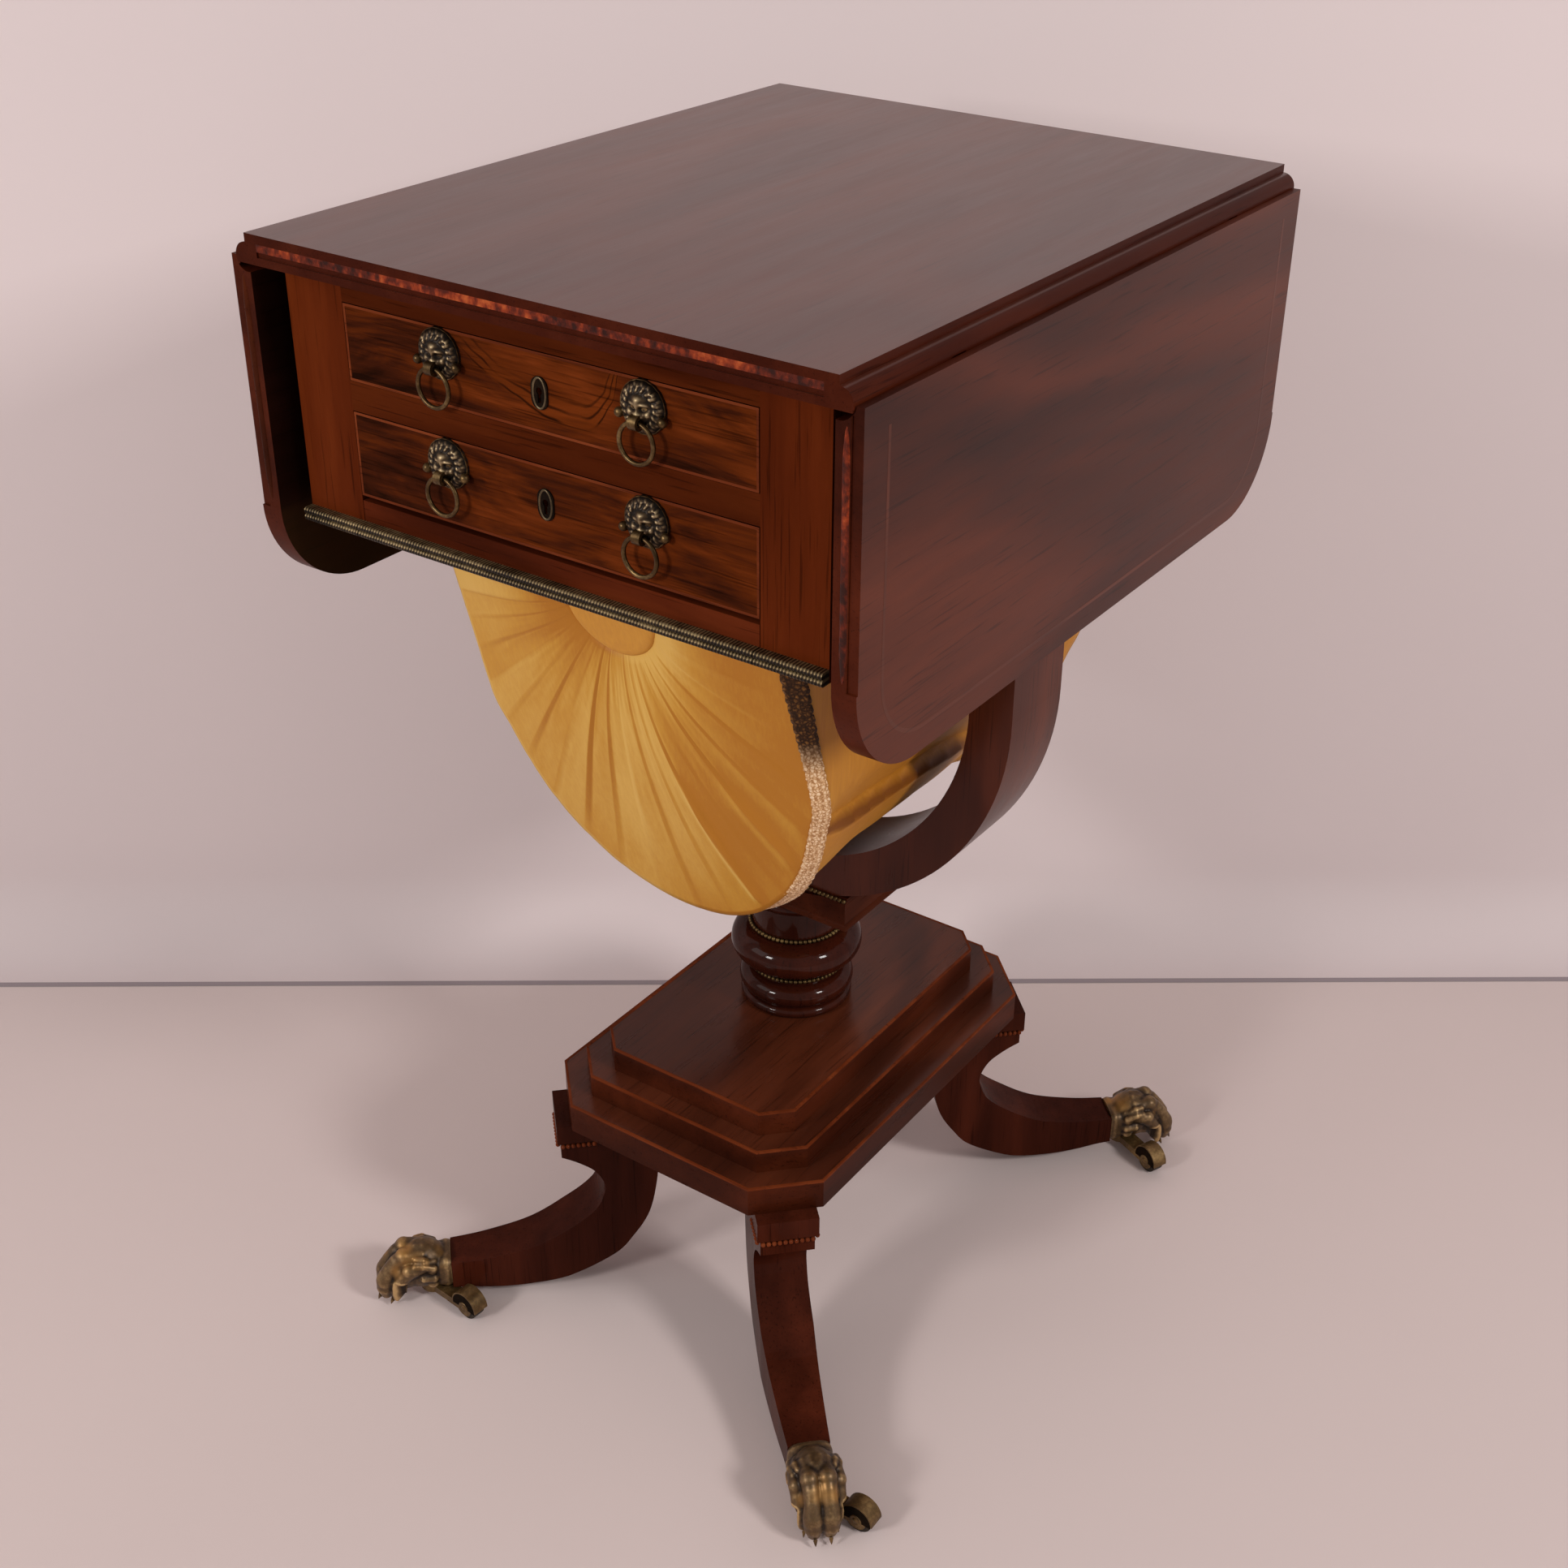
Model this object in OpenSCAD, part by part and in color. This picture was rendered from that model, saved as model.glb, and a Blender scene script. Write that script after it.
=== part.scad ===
// Drop-leaf sewing table: two drawers, a sliding silk work bag between the arms of a U-shaped
// support, and four sabre legs on brass paws and castors.
// Millimetres. +Z is up, -Y is the drawer side, and the origin is on the floor under the column.

/* [Table top] */
// Height of the top above the floor
table_h = 740; // [720:1:780]
// Width of the fixed flat top between the rule joints
top_w = 368; // [350:1:400]
// Depth of the top and of both leaves
top_d = 475; // [465:1:520]
// Thickness of the fixed top
top_t = 16; // [15:0.5:19]
// Height of the banding let into the front and back edges
edge_band_h = 4; // [3:0.1:5]
// Depth of the banding and of its quirk
edge_band_t = 1; // [0.6:0.1:1.5]

/* [Rule joints and leaves] */
// Square fillet above the rounded edge
rule_fillet = 4.8; // [4:0.1:5.5]
// Radius of the rounded edge, about the hinge pin
rule_r = 7.7; // [7:0.1:8]
// Clearance in the rule joint
rule_gap = 0.3; // [0.2:0.05:0.5]
// Thickness of a leaf
leaf_t = 14.2; // [13.8:0.1:14.8]
// Length that a leaf hangs below the joint
leaf_drop = 194.2; // [170:1:215]
// Radius of the free corners of a leaf
leaf_corner_r = 55; // [40:1:65]
// Width of the moulded step on the front and back edges of a leaf
leaf_step_w = 6; // [4:0.5:7]
// Depth of that step
leaf_step_t = 1.2; // [0.8:0.1:2]

/* [Carcase] */
// Gap between each side of the carcase and its hanging leaf
leaf_gap = 10.3; // [9.5:0.1:14]
// Overhang of the top in front of and behind the carcase
top_overhang = 13.8; // [11:0.1:20]
// Thickness of the sides
side_t = 18; // [16:1:20]
// Thickness of the back
back_t = 18; // [15:1:20]
// Width of the front corner stiles
stile_w = 40; // [38:1:44]
// Thickness of the stiles and rails
stile_t = 22; // [20:1:26]
// Height of the rail above the upper drawer
top_rail_h = 13.7; // [12:0.5:18]
// Height of the rail between the drawers
mid_rail_h = 16.4; // [12:0.2:20]
// Height of the brass moulding along the bottom
moulding_h = 7.5; // [6:0.5:9]
// How far the brass moulding stands proud
moulding_t = 6.6; // [5:0.2:7.6]

/* [Drawers] */
// Height of the upper drawer opening
drawer_top_h = 41.9; // [38:0.5:48]
// Height of the lower drawer opening
drawer_bottom_h = 47.8; // [42:0.5:52]
// Thickness of a drawer front
drawer_front_t = 18; // [16:1:20]
// Thickness of the drawer sides and backs
drawer_side_t = 8; // [6:0.5:10]
// Thickness of the drawer bottoms
drawer_bottom_t = 4; // [3:0.5:6]
// Space between a drawer and the back
drawer_short = 31.4; // [16:0.1:70]
// Side and top clearance of a drawer
drawer_gap = 0.5; // [0.3:0.1:0.8]
// Clearance under a drawer
seat_gap = 0.3; // [0.2:0.05:0.4]
// Width of a drawer runner
runner_w = 36; // [32:1:40]
// Height of the guide beside a drawer
guide_h = 10; // [8:1:14]

/* [Locks and pulls] */
// Width of a lock case
lock_w = 32; // [26:1:40]
// Height of a lock case
lock_h = 30; // [28:1:32]
// Depth that a lock case is let in
lock_t = 8; // [7:0.5:10]
// Width of a lock bolt
bolt_w = 14; // [10:1:18]
// Thickness of a lock bolt
bolt_t = 3; // [2.5:0.5:4]
// Height of a lock bolt
bolt_h = 14; // [10:1:18]
// Travel of a lock bolt
bolt_travel = 6; // [4:0.5:8]
// Height of an escutcheon
escutcheon_h = 17; // [14:0.5:20]
// Width of an escutcheon
escutcheon_w = 10.5; // [9:0.5:12]
// Distance of a keyhole below the top of its drawer front
keyhole_down = 19.5; // [18:0.5:21]
// Thickness of an escutcheon
escutcheon_t = 0.8; // [0.5:0.1:1.2]
// Distance of a pull from the middle of its drawer
pull_x = 65; // [55:1:80]
// Diameter of a mask
mask_d = 27; // [25:0.5:28]
// Height of the dome of a mask
mask_dome_h = 4.8; // [4:0.1:5.4]
// Distance of the ring pivot from the drawer front
ring_out = 7; // [7:0.1:9]
// Distance of the ring pivot below the middle of the mask
ring_drop = 6; // [5:0.1:6.5]
// Outer diameter of a ring
ring_d = 23; // [21:0.5:24]
// Thickness of a ring
ring_t = 2.4; // [2:0.1:2.6]
// Width of the lug that a ring hangs in
lug_w = 5; // [4.5:0.1:5.5]
// Diameter of the post of a mask
post_d = 4; // [3:0.5:5]

/* [Bag slide] */
// Height of the front of the bag slide
slide_front_h = 19.5; // [17:0.5:24]
// Thickness of the front of the bag slide
slide_front_t = 18; // [16:1:20]
// Gap between the slide front and the lower drawer
slide_gap = 2.7; // [2.4:0.1:4]
// Width of the side rails of the slide
slide_rail_w = 23.5; // [18:0.5:28]
// Thickness of the frame rails of the slide
slide_rail_h = 12.3; // [10:0.1:12.4]
// Thickness of the lip that carries the slide
slide_lip_t = 2.9; // [2:0.1:3.5]

/* [Silk bag] */
// Gap between the bag and the U
bag_gap = 17.5; // [16.5:0.5:23]
// Gap between the lowest point of the bag and the U
bag_low_gap = 4.3; // [3:0.1:12]
// Distance of the mouth of the bag behind the front
bag_in = 41.7; // [38:0.1:48]
// Slope of the end panels, inwards per unit down
bag_slope = 0.2685; // [0.2:0.01:0.35]
// Wall of the stiffened bag
bag_wall = 2; // [1.5:0.25:3]

/* [U support] */
// Distance of the arms of the U inside the sides of the carcase
u_inset = 4; // [1:0.5:6]
// Thickness of the U
u_t = 28.5; // [24:0.5:31]
// Depth of the U from front to back
u_d = 58; // [50:1:66]
// Straight length of the arms below the carcase
u_straight = 110; // [109.5:0.5:116]

/* [Column] */
// Height of the column between the plinth and the block
column_h = 87.2; // [82:0.2:92]
// Width of the block under the U
block_w = 120; // [100:1:130]
// Depth of the block under the U
block_d = 65; // [64:0.5:72]
// Height of the block
block_h = 22.5; // [20:0.5:26]
// Depth that the U sits in the block
block_seat = 8; // [5:0.5:10]
// Radius of the ovolo along the lower edge of the block
block_ovolo_r = 6; // [4:0.5:8]
// Diameter of the brass beading
bead_d = 3; // [2:0.25:3.5]
// Radius of the column core
column_r = 30; // [27:0.5:31]
// Radius of the large torus of the column
torus_r = 44; // [40:0.5:46]
// Height of the large torus
torus_h = 25; // [22:0.5:26]
// Radius of the foot torus
foot_torus_r = 38.5; // [36:0.5:40]
// Height of the foot torus
foot_torus_h = 16; // [14:0.5:17]
// Radius of the lowest roll
foot_roll_r = 37.6; // [35:0.5:38]
// Height of the lowest roll
foot_roll_h = 7.2; // [6:0.2:8]
// Distance from the foot torus up to the middle of the large torus
torus_rise = 21; // [19.5:0.5:23]

/* [Plinth] */
// Width of the lowest tier
base_w = 211.6; // [200:1:230]
// Depth of the lowest tier
base_d = 310.2; // [290:1:330]
// Canted corner of the lowest tier, along each side
base_cant = 34; // [32:0.5:40]
// Height of the lowest tier
base_h = 21.1; // [18:0.5:24]
// Step between tiers
tier_step = 16; // [14:0.5:18]
// Height of the middle tier
middle_h = 16.3; // [14:0.1:19]
// Canted corner of the middle tier
middle_cant = 22.9; // [20:0.5:26]
// Height of the top tier
upper_h = 17.2; // [14:0.1:20]
// Canted corner of the top tier
upper_cant = 16.6; // [14:0.5:20]

/* [Legs] */
// Distance from the plinth corner to the brass paw
leg_reach = 87; // [84:1:92]
// Width of a leg at the top
leg_top_w = 35; // [32:1:38]
// Width of a leg at the ankle
leg_ankle_w = 27; // [24:1:28]
// Height of the leg head
leg_head_h = 27.7; // [24:0.5:30]
// Height of the moulding round the leg head
cornice_h = 14.7; // [12:0.5:18]
// How far that moulding stands proud
cornice_t = 2.3; // [1.5:0.1:3]

/* [Paws and castors] */
// Length of a paw
paw_l = 52; // [50:1:56]
// Height of a paw
paw_h = 49; // [44:1:52]
// Width of a paw
paw_w = 36; // [32:0.5:37]
// Height of the sole over the castor
paw_sole_h = 12.6; // [12.4:0.1:14]
// Clearance of the toes above the floor
toe_lift = 2.5; // [2:0.5:4]
// Distance of the castor pivot behind the toes
castor_set = 39; // [38:0.5:41]
// Distance from the pivot to the wheel
castor_trail = 36; // [35:0.5:38]
// Radius of a castor wheel
wheel_r = 10; // [9:0.25:10.5]
// Thickness of a castor wheel
wheel_t = 8; // [7:0.2:8.2]
// Diameter of the castor axles
axle_d = 3; // [2.5:0.25:3.5]
// Diameter of the castor pivot pins
pintle_d = 6; // [5:0.5:7]
// Outer width of a castor fork
fork_w = 11.4; // [11:0.2:11.6]
// Swivel of the front right castor from the leg direction
castor_front_right = 45; // [45:1:130]
// Swivel of the front left castor
castor_front_left = 130; // [45:1:130]
// Swivel of the back right castor
castor_back_right = -69; // [-130:1:-45]
// Swivel of the back left castor
castor_back_left = 45; // [45:1:130]

/* [Hinges and brackets] */
// Distance of the leaf hinges from the middle
hinge_y = 150; // [120:1:175]
// Length of a hinge
hinge_l = 36; // [30:1:42]
// Diameter of the hinge knuckle
knuckle_d = 6.2; // [5.5:0.1:6.4]
// Diameter of the hinge pin
hinge_pin_d = 3; // [2.5:0.1:3.2]
// Thickness of the hinge flaps
flap_t = 1.5; // [1.2:0.1:1.6]
// Length of the flap under the fixed top
fixed_flap_l = 26; // [22:1:30]
// Length of the flap on the leaf
leaf_flap_l = 42; // [36:1:48]
// Diameter of the hinge screws
screw_d = 3; // [2.5:0.25:3.5]
// Length of the hinge screws
screw_l = 8; // [6:0.5:9]
// Length of a leaf bracket
bracket_l = 150; // [120:1:170]
// Height of a leaf bracket
bracket_h = 34; // [28:1:40]
// Thickness of a leaf bracket
bracket_t = 13.5; // [11:0.5:14]
// Diameter of the bracket pins
bracket_pin_d = 4; // [3:0.5:5]

/* [Hidden] */
$fn = 96;

mahogany = "#5a2018";
rosewood = "#4a2114";
dark_wood = "#35140e";
inner_wood = "#8a5a38";
brass = "#8d7a4d";
silk = "#c9952f";
banding = "#96401c";

// Running clearance of pins in their bores
pin_gap = 0.05;
// Small overlap that lets cutting bodies pass a surface
cut = 1;

half_top = top_w / 2;
half_d = top_d / 2;
top_z = table_h - top_t;
pin_z = table_h - rule_fillet - rule_r;
cove_r = rule_r + rule_gap;
leaf_out = half_top + table_h - pin_z;
leaf_in = leaf_out - leaf_t;
leaf_top_z = pin_z - rule_gap;
leaf_low_z = leaf_top_z - leaf_drop;
leaf_edge_z = leaf_low_z + leaf_corner_r;

half_w = leaf_in - leaf_gap;
front_y = top_overhang - half_d;
back_y = half_d - top_overhang - back_t;
drawer_l = back_y - front_y - drawer_front_t - drawer_short;
bag_half_l = -front_y - bag_in;
stile_y = front_y + stile_t;
open_x = half_w - stile_w;
side_x = half_w - side_t;
drawer_top_z = top_z - top_rail_h - drawer_top_h;
drawer_bottom_z = drawer_top_z - mid_rail_h - drawer_bottom_h;
slide_top_z = drawer_bottom_z - slide_gap;
carcase_z = slide_top_z - slide_front_h;
frame_z = carcase_z + slide_lip_t + seat_gap;
kicker_z = frame_z + slide_rail_h + drawer_gap;
moulding_y = front_y - moulding_t;
runner_x = side_x - runner_w;
slide_x = open_x - drawer_gap;
back_reach = drawer_front_t + drawer_l;

u_outer_r = half_w - u_inset;
u_inner_r = u_outer_r - u_t;
bag_r = u_inner_r - bag_gap;
u_z = carcase_z - u_straight;
block_top_z = u_z - u_outer_r + block_seat;
block_z = block_top_z - block_h;
bag_top_z = frame_z;
bag_centre_z = u_z - u_inner_r + bag_low_gap + bag_r;

column_z = block_z - column_h;
upper_z = column_z - upper_h;
middle_z = upper_z - middle_h;
plinth_z = middle_z - base_h;
leg_h = plinth_z;
torus_z = column_z + foot_torus_h + foot_roll_h + torus_rise;
lower_ring_z = torus_z - torus_h / 2 - bead_d - 2;
upper_ring_z = torus_z + torus_h / 2 + bead_d - 1;
bead_sink = 0.3;
ring_bead_r = column_r + bead_d / 2 - bead_sink;

// Middle of the canted corner of the lowest tier
corner_x = base_w / 2 - base_cant / 2;
corner_y = base_d / 2 - base_cant / 2;
head_out = 7.7;
head_low_z = leg_h - leg_head_h;
castor_s = leg_reach + paw_l - castor_set;
wheel_gap = 0.5;

// Side outline of a leg: the scooped outer edge, then the lower edge back. Each point is a share of
// the reach, and a share of the rise from the ankle to the head, or of the ankle height if below it
ankle_z = 0.694 * paw_h;
leg_outer_shares = [
    [-0.0345, 0.93], [-0.161, 0.826], [-0.23, 0.686], [-0.218, 0.57], [-0.149, 0.43],
    [0.0345, 0.279], [0.345, 0.105], [0.713, 0.0233], [1, 0]
];
leg_inner_shares = [
    [0.851, -0.641], [0.69, -0.691], [0.437, -0.706], [0.092, -0.588], [-0.276, -0.147],
    [-0.437, 0.116], [-0.575, 0.36], [-0.644, 0.709], [-0.655, 1]
];

function leg_points(shares) = [for (p = shares) [
    p[0] * leg_reach,
    ankle_z + p[1] * (p[1] < 0 ? ankle_z : head_low_z - ankle_z)
]];

leg_outer = concat([[head_out, head_low_z]], leg_points(leg_outer_shares));
leg_inner = concat([[leg_reach, paw_sole_h + 0.4]], leg_points(leg_inner_shares));

function spline_point(a, b, c, d, t) =
    0.5 * (2 * b + (c - a) * t + (2 * a - 5 * b + 4 * c - d) * t * t
        + (3 * b - a - 3 * c + d) * t * t * t);

// Smooth curve through the points p, with n steps between neighbours
function spline(p, n) = concat(
    [for (i = [0 : len(p) - 2], k = [0 : n - 1])
        spline_point(p[max(i - 1, 0)], p[i], p[i + 1], p[min(i + 2, len(p) - 1)], k / n)],
    [p[len(p) - 1]]
);

function canted(w, d, c) = [
    [w / 2 - c, -d / 2], [w / 2, c - d / 2], [w / 2, d / 2 - c], [w / 2 - c, d / 2],
    [c - w / 2, d / 2], [-w / 2, d / 2 - c], [-w / 2, c - d / 2], [c - w / 2, -d / 2]
];

// A box from its lowest to its highest corner
module block(a, b) {
    translate(a) cube(b - a);
}

module both_sides() {
    children();
    mirror([1, 0, 0]) children();
}

module front_and_back() {
    children();
    mirror([0, 1, 0]) children();
}

// Extrudes an outline drawn in X and Z along Y, centred
module along_y(l) {
    rotate([90, 0, 0]) linear_extrude(l, center = true) children();
}

// Round bar along X, centred
module bar_x(r, l) {
    rotate([0, 90, 0]) cylinder(r = r, h = l, center = true);
}

// Round bar along Y, centred
module bar_y(r, l) {
    rotate([90, 0, 0]) cylinder(r = r, h = l, center = true);
}

// Places a child at each hinge of the right-hand rule joint
module at_hinges() {
    for (y = [-hinge_y, hinge_y]) translate([half_top, y, pin_z]) children();
}

// Knuckle spans: the fixed flap has the two outer thirds
knuckle_gap = 0.2;
third = hinge_l / 3;

module fixed_flap_shape() {
    difference() {
        union() {
            block([-fixed_flap_l, -hinge_l / 2, top_z - pin_z],
                [-knuckle_d / 2 - knuckle_gap, hinge_l / 2, top_z - pin_z + flap_t]);
            for (y = [-third, third]) {
                translate([0, y, 0]) bar_y(knuckle_d / 2, third - knuckle_gap);
                block([-knuckle_d, y - third / 2 + knuckle_gap / 2, top_z - pin_z],
                    [0, y + third / 2 - knuckle_gap / 2, top_z - pin_z + flap_t]);
            }
        }
        bar_y(hinge_pin_d / 2, hinge_l + cut);
        fixed_screws();
    }
}

module leaf_flap_shape() {
    difference() {
        union() {
            block([leaf_in - half_top, -hinge_l / 2, -leaf_flap_l],
                [leaf_in - half_top + flap_t, hinge_l / 2, -cove_r - 1]);
            bar_y(knuckle_d / 2, third - knuckle_gap);
            block([leaf_in - half_top, knuckle_gap / 2 - third / 2, -cove_r - 2],
                [leaf_in - half_top + flap_t, third / 2 - knuckle_gap / 2, 0]);
        }
        bar_y(hinge_pin_d / 2 + pin_gap, hinge_l + cut);
        leaf_screws();
    }
}

// Pocket in the top for the knuckle and the neck of the leaf flap
module knuckle_pocket() {
    bar_y(knuckle_d / 2 + rule_gap, hinge_l + 2 * knuckle_gap);
    block([-knuckle_d / 2 - rule_gap, -hinge_l / 2 - knuckle_gap, top_z - pin_z - cut],
        [knuckle_d / 2 + rule_gap, hinge_l / 2 + knuckle_gap, 0]);
    block([0, -third / 2 - rule_gap, top_z - pin_z - cut],
        [rule_r + cut, third / 2 + rule_gap, knuckle_gap]);
}

module screw(l) {
    cylinder(d = screw_d, h = l);
    cylinder(d1 = screw_d * 1.8, d2 = screw_d, h = flap_t * 0.6);
}

module fixed_screws() {
    for (y = [-hinge_l / 3, hinge_l / 3])
        translate([-fixed_flap_l * 0.6, y, top_z - pin_z]) screw(screw_l);
}

module leaf_screws() {
    for (y = [-hinge_l / 3, hinge_l / 3])
        translate([leaf_in - half_top, y, -leaf_flap_l * 0.72]) rotate([0, 90, 0]) screw(screw_l);
}

module top_profile() {
    translate([-half_top, top_z]) square([top_w, top_t]);
    for (side = [-1, 1]) intersection() {
        translate([side * half_top, pin_z]) circle(rule_r);
        translate([-half_top - rule_r, top_z]) square([top_w + 2 * rule_r, top_t]);
    }
}

edge_band_z = pin_z + rule_r - edge_band_h;
quirk_h = 3;
band_stop = 8;

module top_board() {
    color(mahogany) difference() {
        along_y(top_d) top_profile();
        front_and_back()
            block([band_stop - half_top, -half_d - cut, edge_band_z - quirk_h],
                [half_top - band_stop, edge_band_t - half_d, edge_band_z + edge_band_h]);
        both_sides() at_hinges() {
            knuckle_pocket();
            block([-fixed_flap_l, -hinge_l / 2, top_z - pin_z - cut],
                [0, hinge_l / 2, top_z - pin_z + flap_t]);
            fixed_screws();
        }
    }
}

module top_edge_bands() {
    color(banding) front_and_back()
        block([band_stop - half_top, -half_d, edge_band_z],
            [half_top - band_stop, edge_band_t - half_d, edge_band_z + edge_band_h]);
}

// Outline of a leaf from the side, Y across and Z up
module leaf_outline() {
    translate([-half_d, leaf_edge_z]) square([top_d, leaf_top_z - leaf_edge_z]);
    translate([leaf_corner_r - half_d, leaf_low_z])
        square([top_d - 2 * leaf_corner_r, leaf_corner_r + cut]);
    for (y = [leaf_corner_r - half_d, half_d - leaf_corner_r])
        translate([y, leaf_edge_z]) circle(leaf_corner_r);
}

module leaf() {
    difference() {
        intersection() {
            along_y(top_d) difference() {
                translate([leaf_in, leaf_low_z]) square([leaf_t, leaf_top_z - leaf_low_z]);
                translate([half_top, pin_z]) circle(cove_r);
            }
            translate([leaf_in - cut, 0, 0]) rotate([90, 0, 90])
                linear_extrude(leaf_t + 2 * cut) leaf_outline();
        }
        front_and_back()
            block([leaf_out - leaf_step_w, -half_d - cut, leaf_edge_z],
                [leaf_out + cut, leaf_step_t - half_d, leaf_top_z + cut]);
        at_hinges() {
            block([leaf_in - half_top - cut, -hinge_l / 2, -leaf_flap_l],
                [leaf_in - half_top + flap_t, hinge_l / 2, cut - cove_r]);
            leaf_screws();
        }
    }
}

module right_leaf() {
    color(mahogany) leaf();
}

module left_leaf() {
    color(mahogany) mirror([1, 0, 0]) leaf();
}

module leaf_flaps() {
    at_hinges() {
        leaf_flap_shape();
        leaf_screws();
    }
}

module right_leaf_flaps() {
    color(brass) leaf_flaps();
}

module left_leaf_flaps() {
    color(brass) mirror([1, 0, 0]) leaf_flaps();
}

module hinge_fixed_flaps() {
    color(brass) both_sides() at_hinges() {
        fixed_flap_shape();
        fixed_screws();
    }
}

module hinge_pins() {
    color(brass) both_sides() at_hinges() bar_y(hinge_pin_d / 2, hinge_l);
}

bracket_top_z = top_z - seat_gap;

// Outline of a bracket: Y across from the pin end, Z up, with a sloping free end
module bracket_outline() {
    low_z = bracket_top_z - bracket_h;
    polygon([
        [-bracket_l / 2, low_z], [bracket_l / 2 - bracket_h / 2, low_z],
        [bracket_l / 2, bracket_top_z - bracket_h / 3], [bracket_l / 2, bracket_top_z],
        [-bracket_l / 2, bracket_top_z]
    ]);
}

module bracket() {
    translate([half_w - bracket_t, 0, 0]) rotate([90, 0, 90])
        linear_extrude(bracket_t) bracket_outline();
}

module bracket_pin() {
    translate([half_w - bracket_t / 2, bracket_t / 2 - bracket_l / 2, bracket_top_z - bracket_h - 10])
        cylinder(d = bracket_pin_d, h = bracket_h + 10);
}

module leaf_brackets() {
    color(inner_wood) both_sides() {
        difference() {
            bracket();
            bracket_pin();
        }
        bracket_pin();
    }
}

module carcase_sides() {
    color(mahogany) both_sides() difference() {
        block([side_x, stile_y, carcase_z], [half_w, back_y, top_z]);
        for (out = [0, cut], up = [0, cut]) translate([out, 0, up]) bracket();
        bracket_pin();
    }
}

module carcase_back() {
    color(mahogany) block([-half_w, back_y, carcase_z], [half_w, back_y + back_t, top_z]);
}

module corner_stiles() {
    color(mahogany) both_sides()
        block([open_x, front_y, carcase_z], [half_w, stile_y, top_z]);
}

bolt_y = front_y + drawer_front_t - lock_t / 2;
bolt_gap = 0.15;

// Mortise above a drawer for its lock bolt
module bolt_mortise(z) {
    block([-bolt_w / 2 - bolt_gap * 2, bolt_y - bolt_t / 2 - bolt_gap * 2, z - cut],
        [bolt_w / 2 + bolt_gap * 2, bolt_y + bolt_t / 2 + bolt_gap * 2, z + bolt_travel + cut]);
}

module drawer_rails() {
    color(rosewood) {
        difference() {
            block([-open_x, front_y, top_z - top_rail_h], [open_x, stile_y, top_z]);
            bolt_mortise(top_z - top_rail_h);
        }
        difference() {
            block([-open_x, front_y, drawer_top_z - mid_rail_h], [open_x, stile_y, drawer_top_z]);
            bolt_mortise(drawer_top_z - mid_rail_h);
        }
    }
}

// Runner with its side guide; its top is at z
module runner(low_z, z) {
    block([runner_x, stile_y, low_z], [side_x, back_y, z]);
    block([open_x, stile_y, z - cut], [side_x, back_y, z + guide_h]);
}

module drawer_runners() {
    color(inner_wood) both_sides() {
        block([runner_x, stile_y, top_z - top_rail_h + drawer_gap], [side_x, back_y, top_z]);
        runner(drawer_top_z - mid_rail_h + drawer_gap, drawer_top_z);
        runner(kicker_z, drawer_bottom_z);
    }
}

module slide_runners() {
    color(inner_wood) both_sides() {
        block([open_x - 8, stile_y, carcase_z], [side_x, back_y, carcase_z + slide_lip_t]);
        block([open_x, stile_y, carcase_z + slide_lip_t - cut], [side_x, back_y, kicker_z]);
    }
}

// Double-reeded brass moulding in X from a to b
module moulding(a, b) {
    reed_r = moulding_h / 4;
    back = moulding_y + reed_r;
    block([a, back, carcase_z], [b, front_y, carcase_z + moulding_h]);
    for (z = [carcase_z + reed_r, carcase_z + 3 * reed_r])
        translate([(a + b) / 2, back, z]) bar_x(reed_r, b - a);
}

module stile_mouldings() {
    color(brass) both_sides() moulding(open_x, half_w);
}

module bag_slide_moulding() {
    color(brass) moulding(-slide_x, slide_x);
}

module u_outline() {
    difference() {
        union() {
            translate([0, u_z]) circle(u_outer_r);
            translate([-u_outer_r, u_z]) square([2 * u_outer_r, u_straight]);
        }
        translate([0, u_z]) circle(u_inner_r);
        translate([-u_inner_r, u_z]) square([2 * u_inner_r, u_outer_r + u_straight]);
        translate([-u_outer_r, carcase_z]) square([2 * u_outer_r, u_outer_r]);
    }
}

module u_support() {
    color(mahogany) along_y(u_d) u_outline();
}

block_step = 1.5;
bead_z = block_top_z - bead_d / 2;

// Side outline of the block: a quarter-round along the lower edge, then a small step back
module block_outline(w) {
    r = block_ovolo_r;
    translate([block_step - w / 2, block_z]) square([w - 2 * block_step, block_h]);
    intersection() {
        translate([-w / 2, block_z]) square([w, r]);
        for (side = [-1, 1]) translate([side * (w / 2 - r), block_z]) circle(r);
    }
}

module beading_bars(l) {
    front_and_back() translate([0, -(u_d + bead_d) / 2, bead_z]) bar_x(bead_d / 2, l);
}

module u_block() {
    color(mahogany) difference() {
        intersection() {
            along_y(2 * block_d) block_outline(block_w);
            rotate([0, 0, 90]) along_y(2 * block_w) block_outline(block_d);
        }
        along_y(2 * block_d) translate([0, u_z]) circle(u_outer_r);
        beading_bars(block_w + cut);
        front_and_back()
            block([-block_w, -block_d, bead_z], [block_w, -u_d / 2, block_top_z + cut]);
    }
}

module block_beading() {
    color(brass) beading_bars(block_w - 2 * block_step);
}

// Solid of revolution round the column: a bulge of radius r and height h at z
module bulge(r, h, z) {
    translate([r - h / 2, z]) circle(h / 2);
}

module column_outline() {
    translate([0, column_z]) square([column_r, block_z - column_z]);
    translate([0, column_z]) square([foot_roll_r - foot_roll_h / 2, foot_roll_h]);
    bulge(foot_roll_r, foot_roll_h, column_z + foot_roll_h / 2);
    translate([0, column_z + foot_roll_h / 2])
        square([foot_roll_r - foot_roll_h / 2, foot_roll_h / 2 + 1.5]);
    bulge(foot_torus_r, foot_torus_h, column_z + foot_roll_h + foot_torus_h / 2);
    bulge(torus_r, torus_h, torus_z);
    bulge(column_r + 5, 9, block_z - 3);
}

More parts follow.
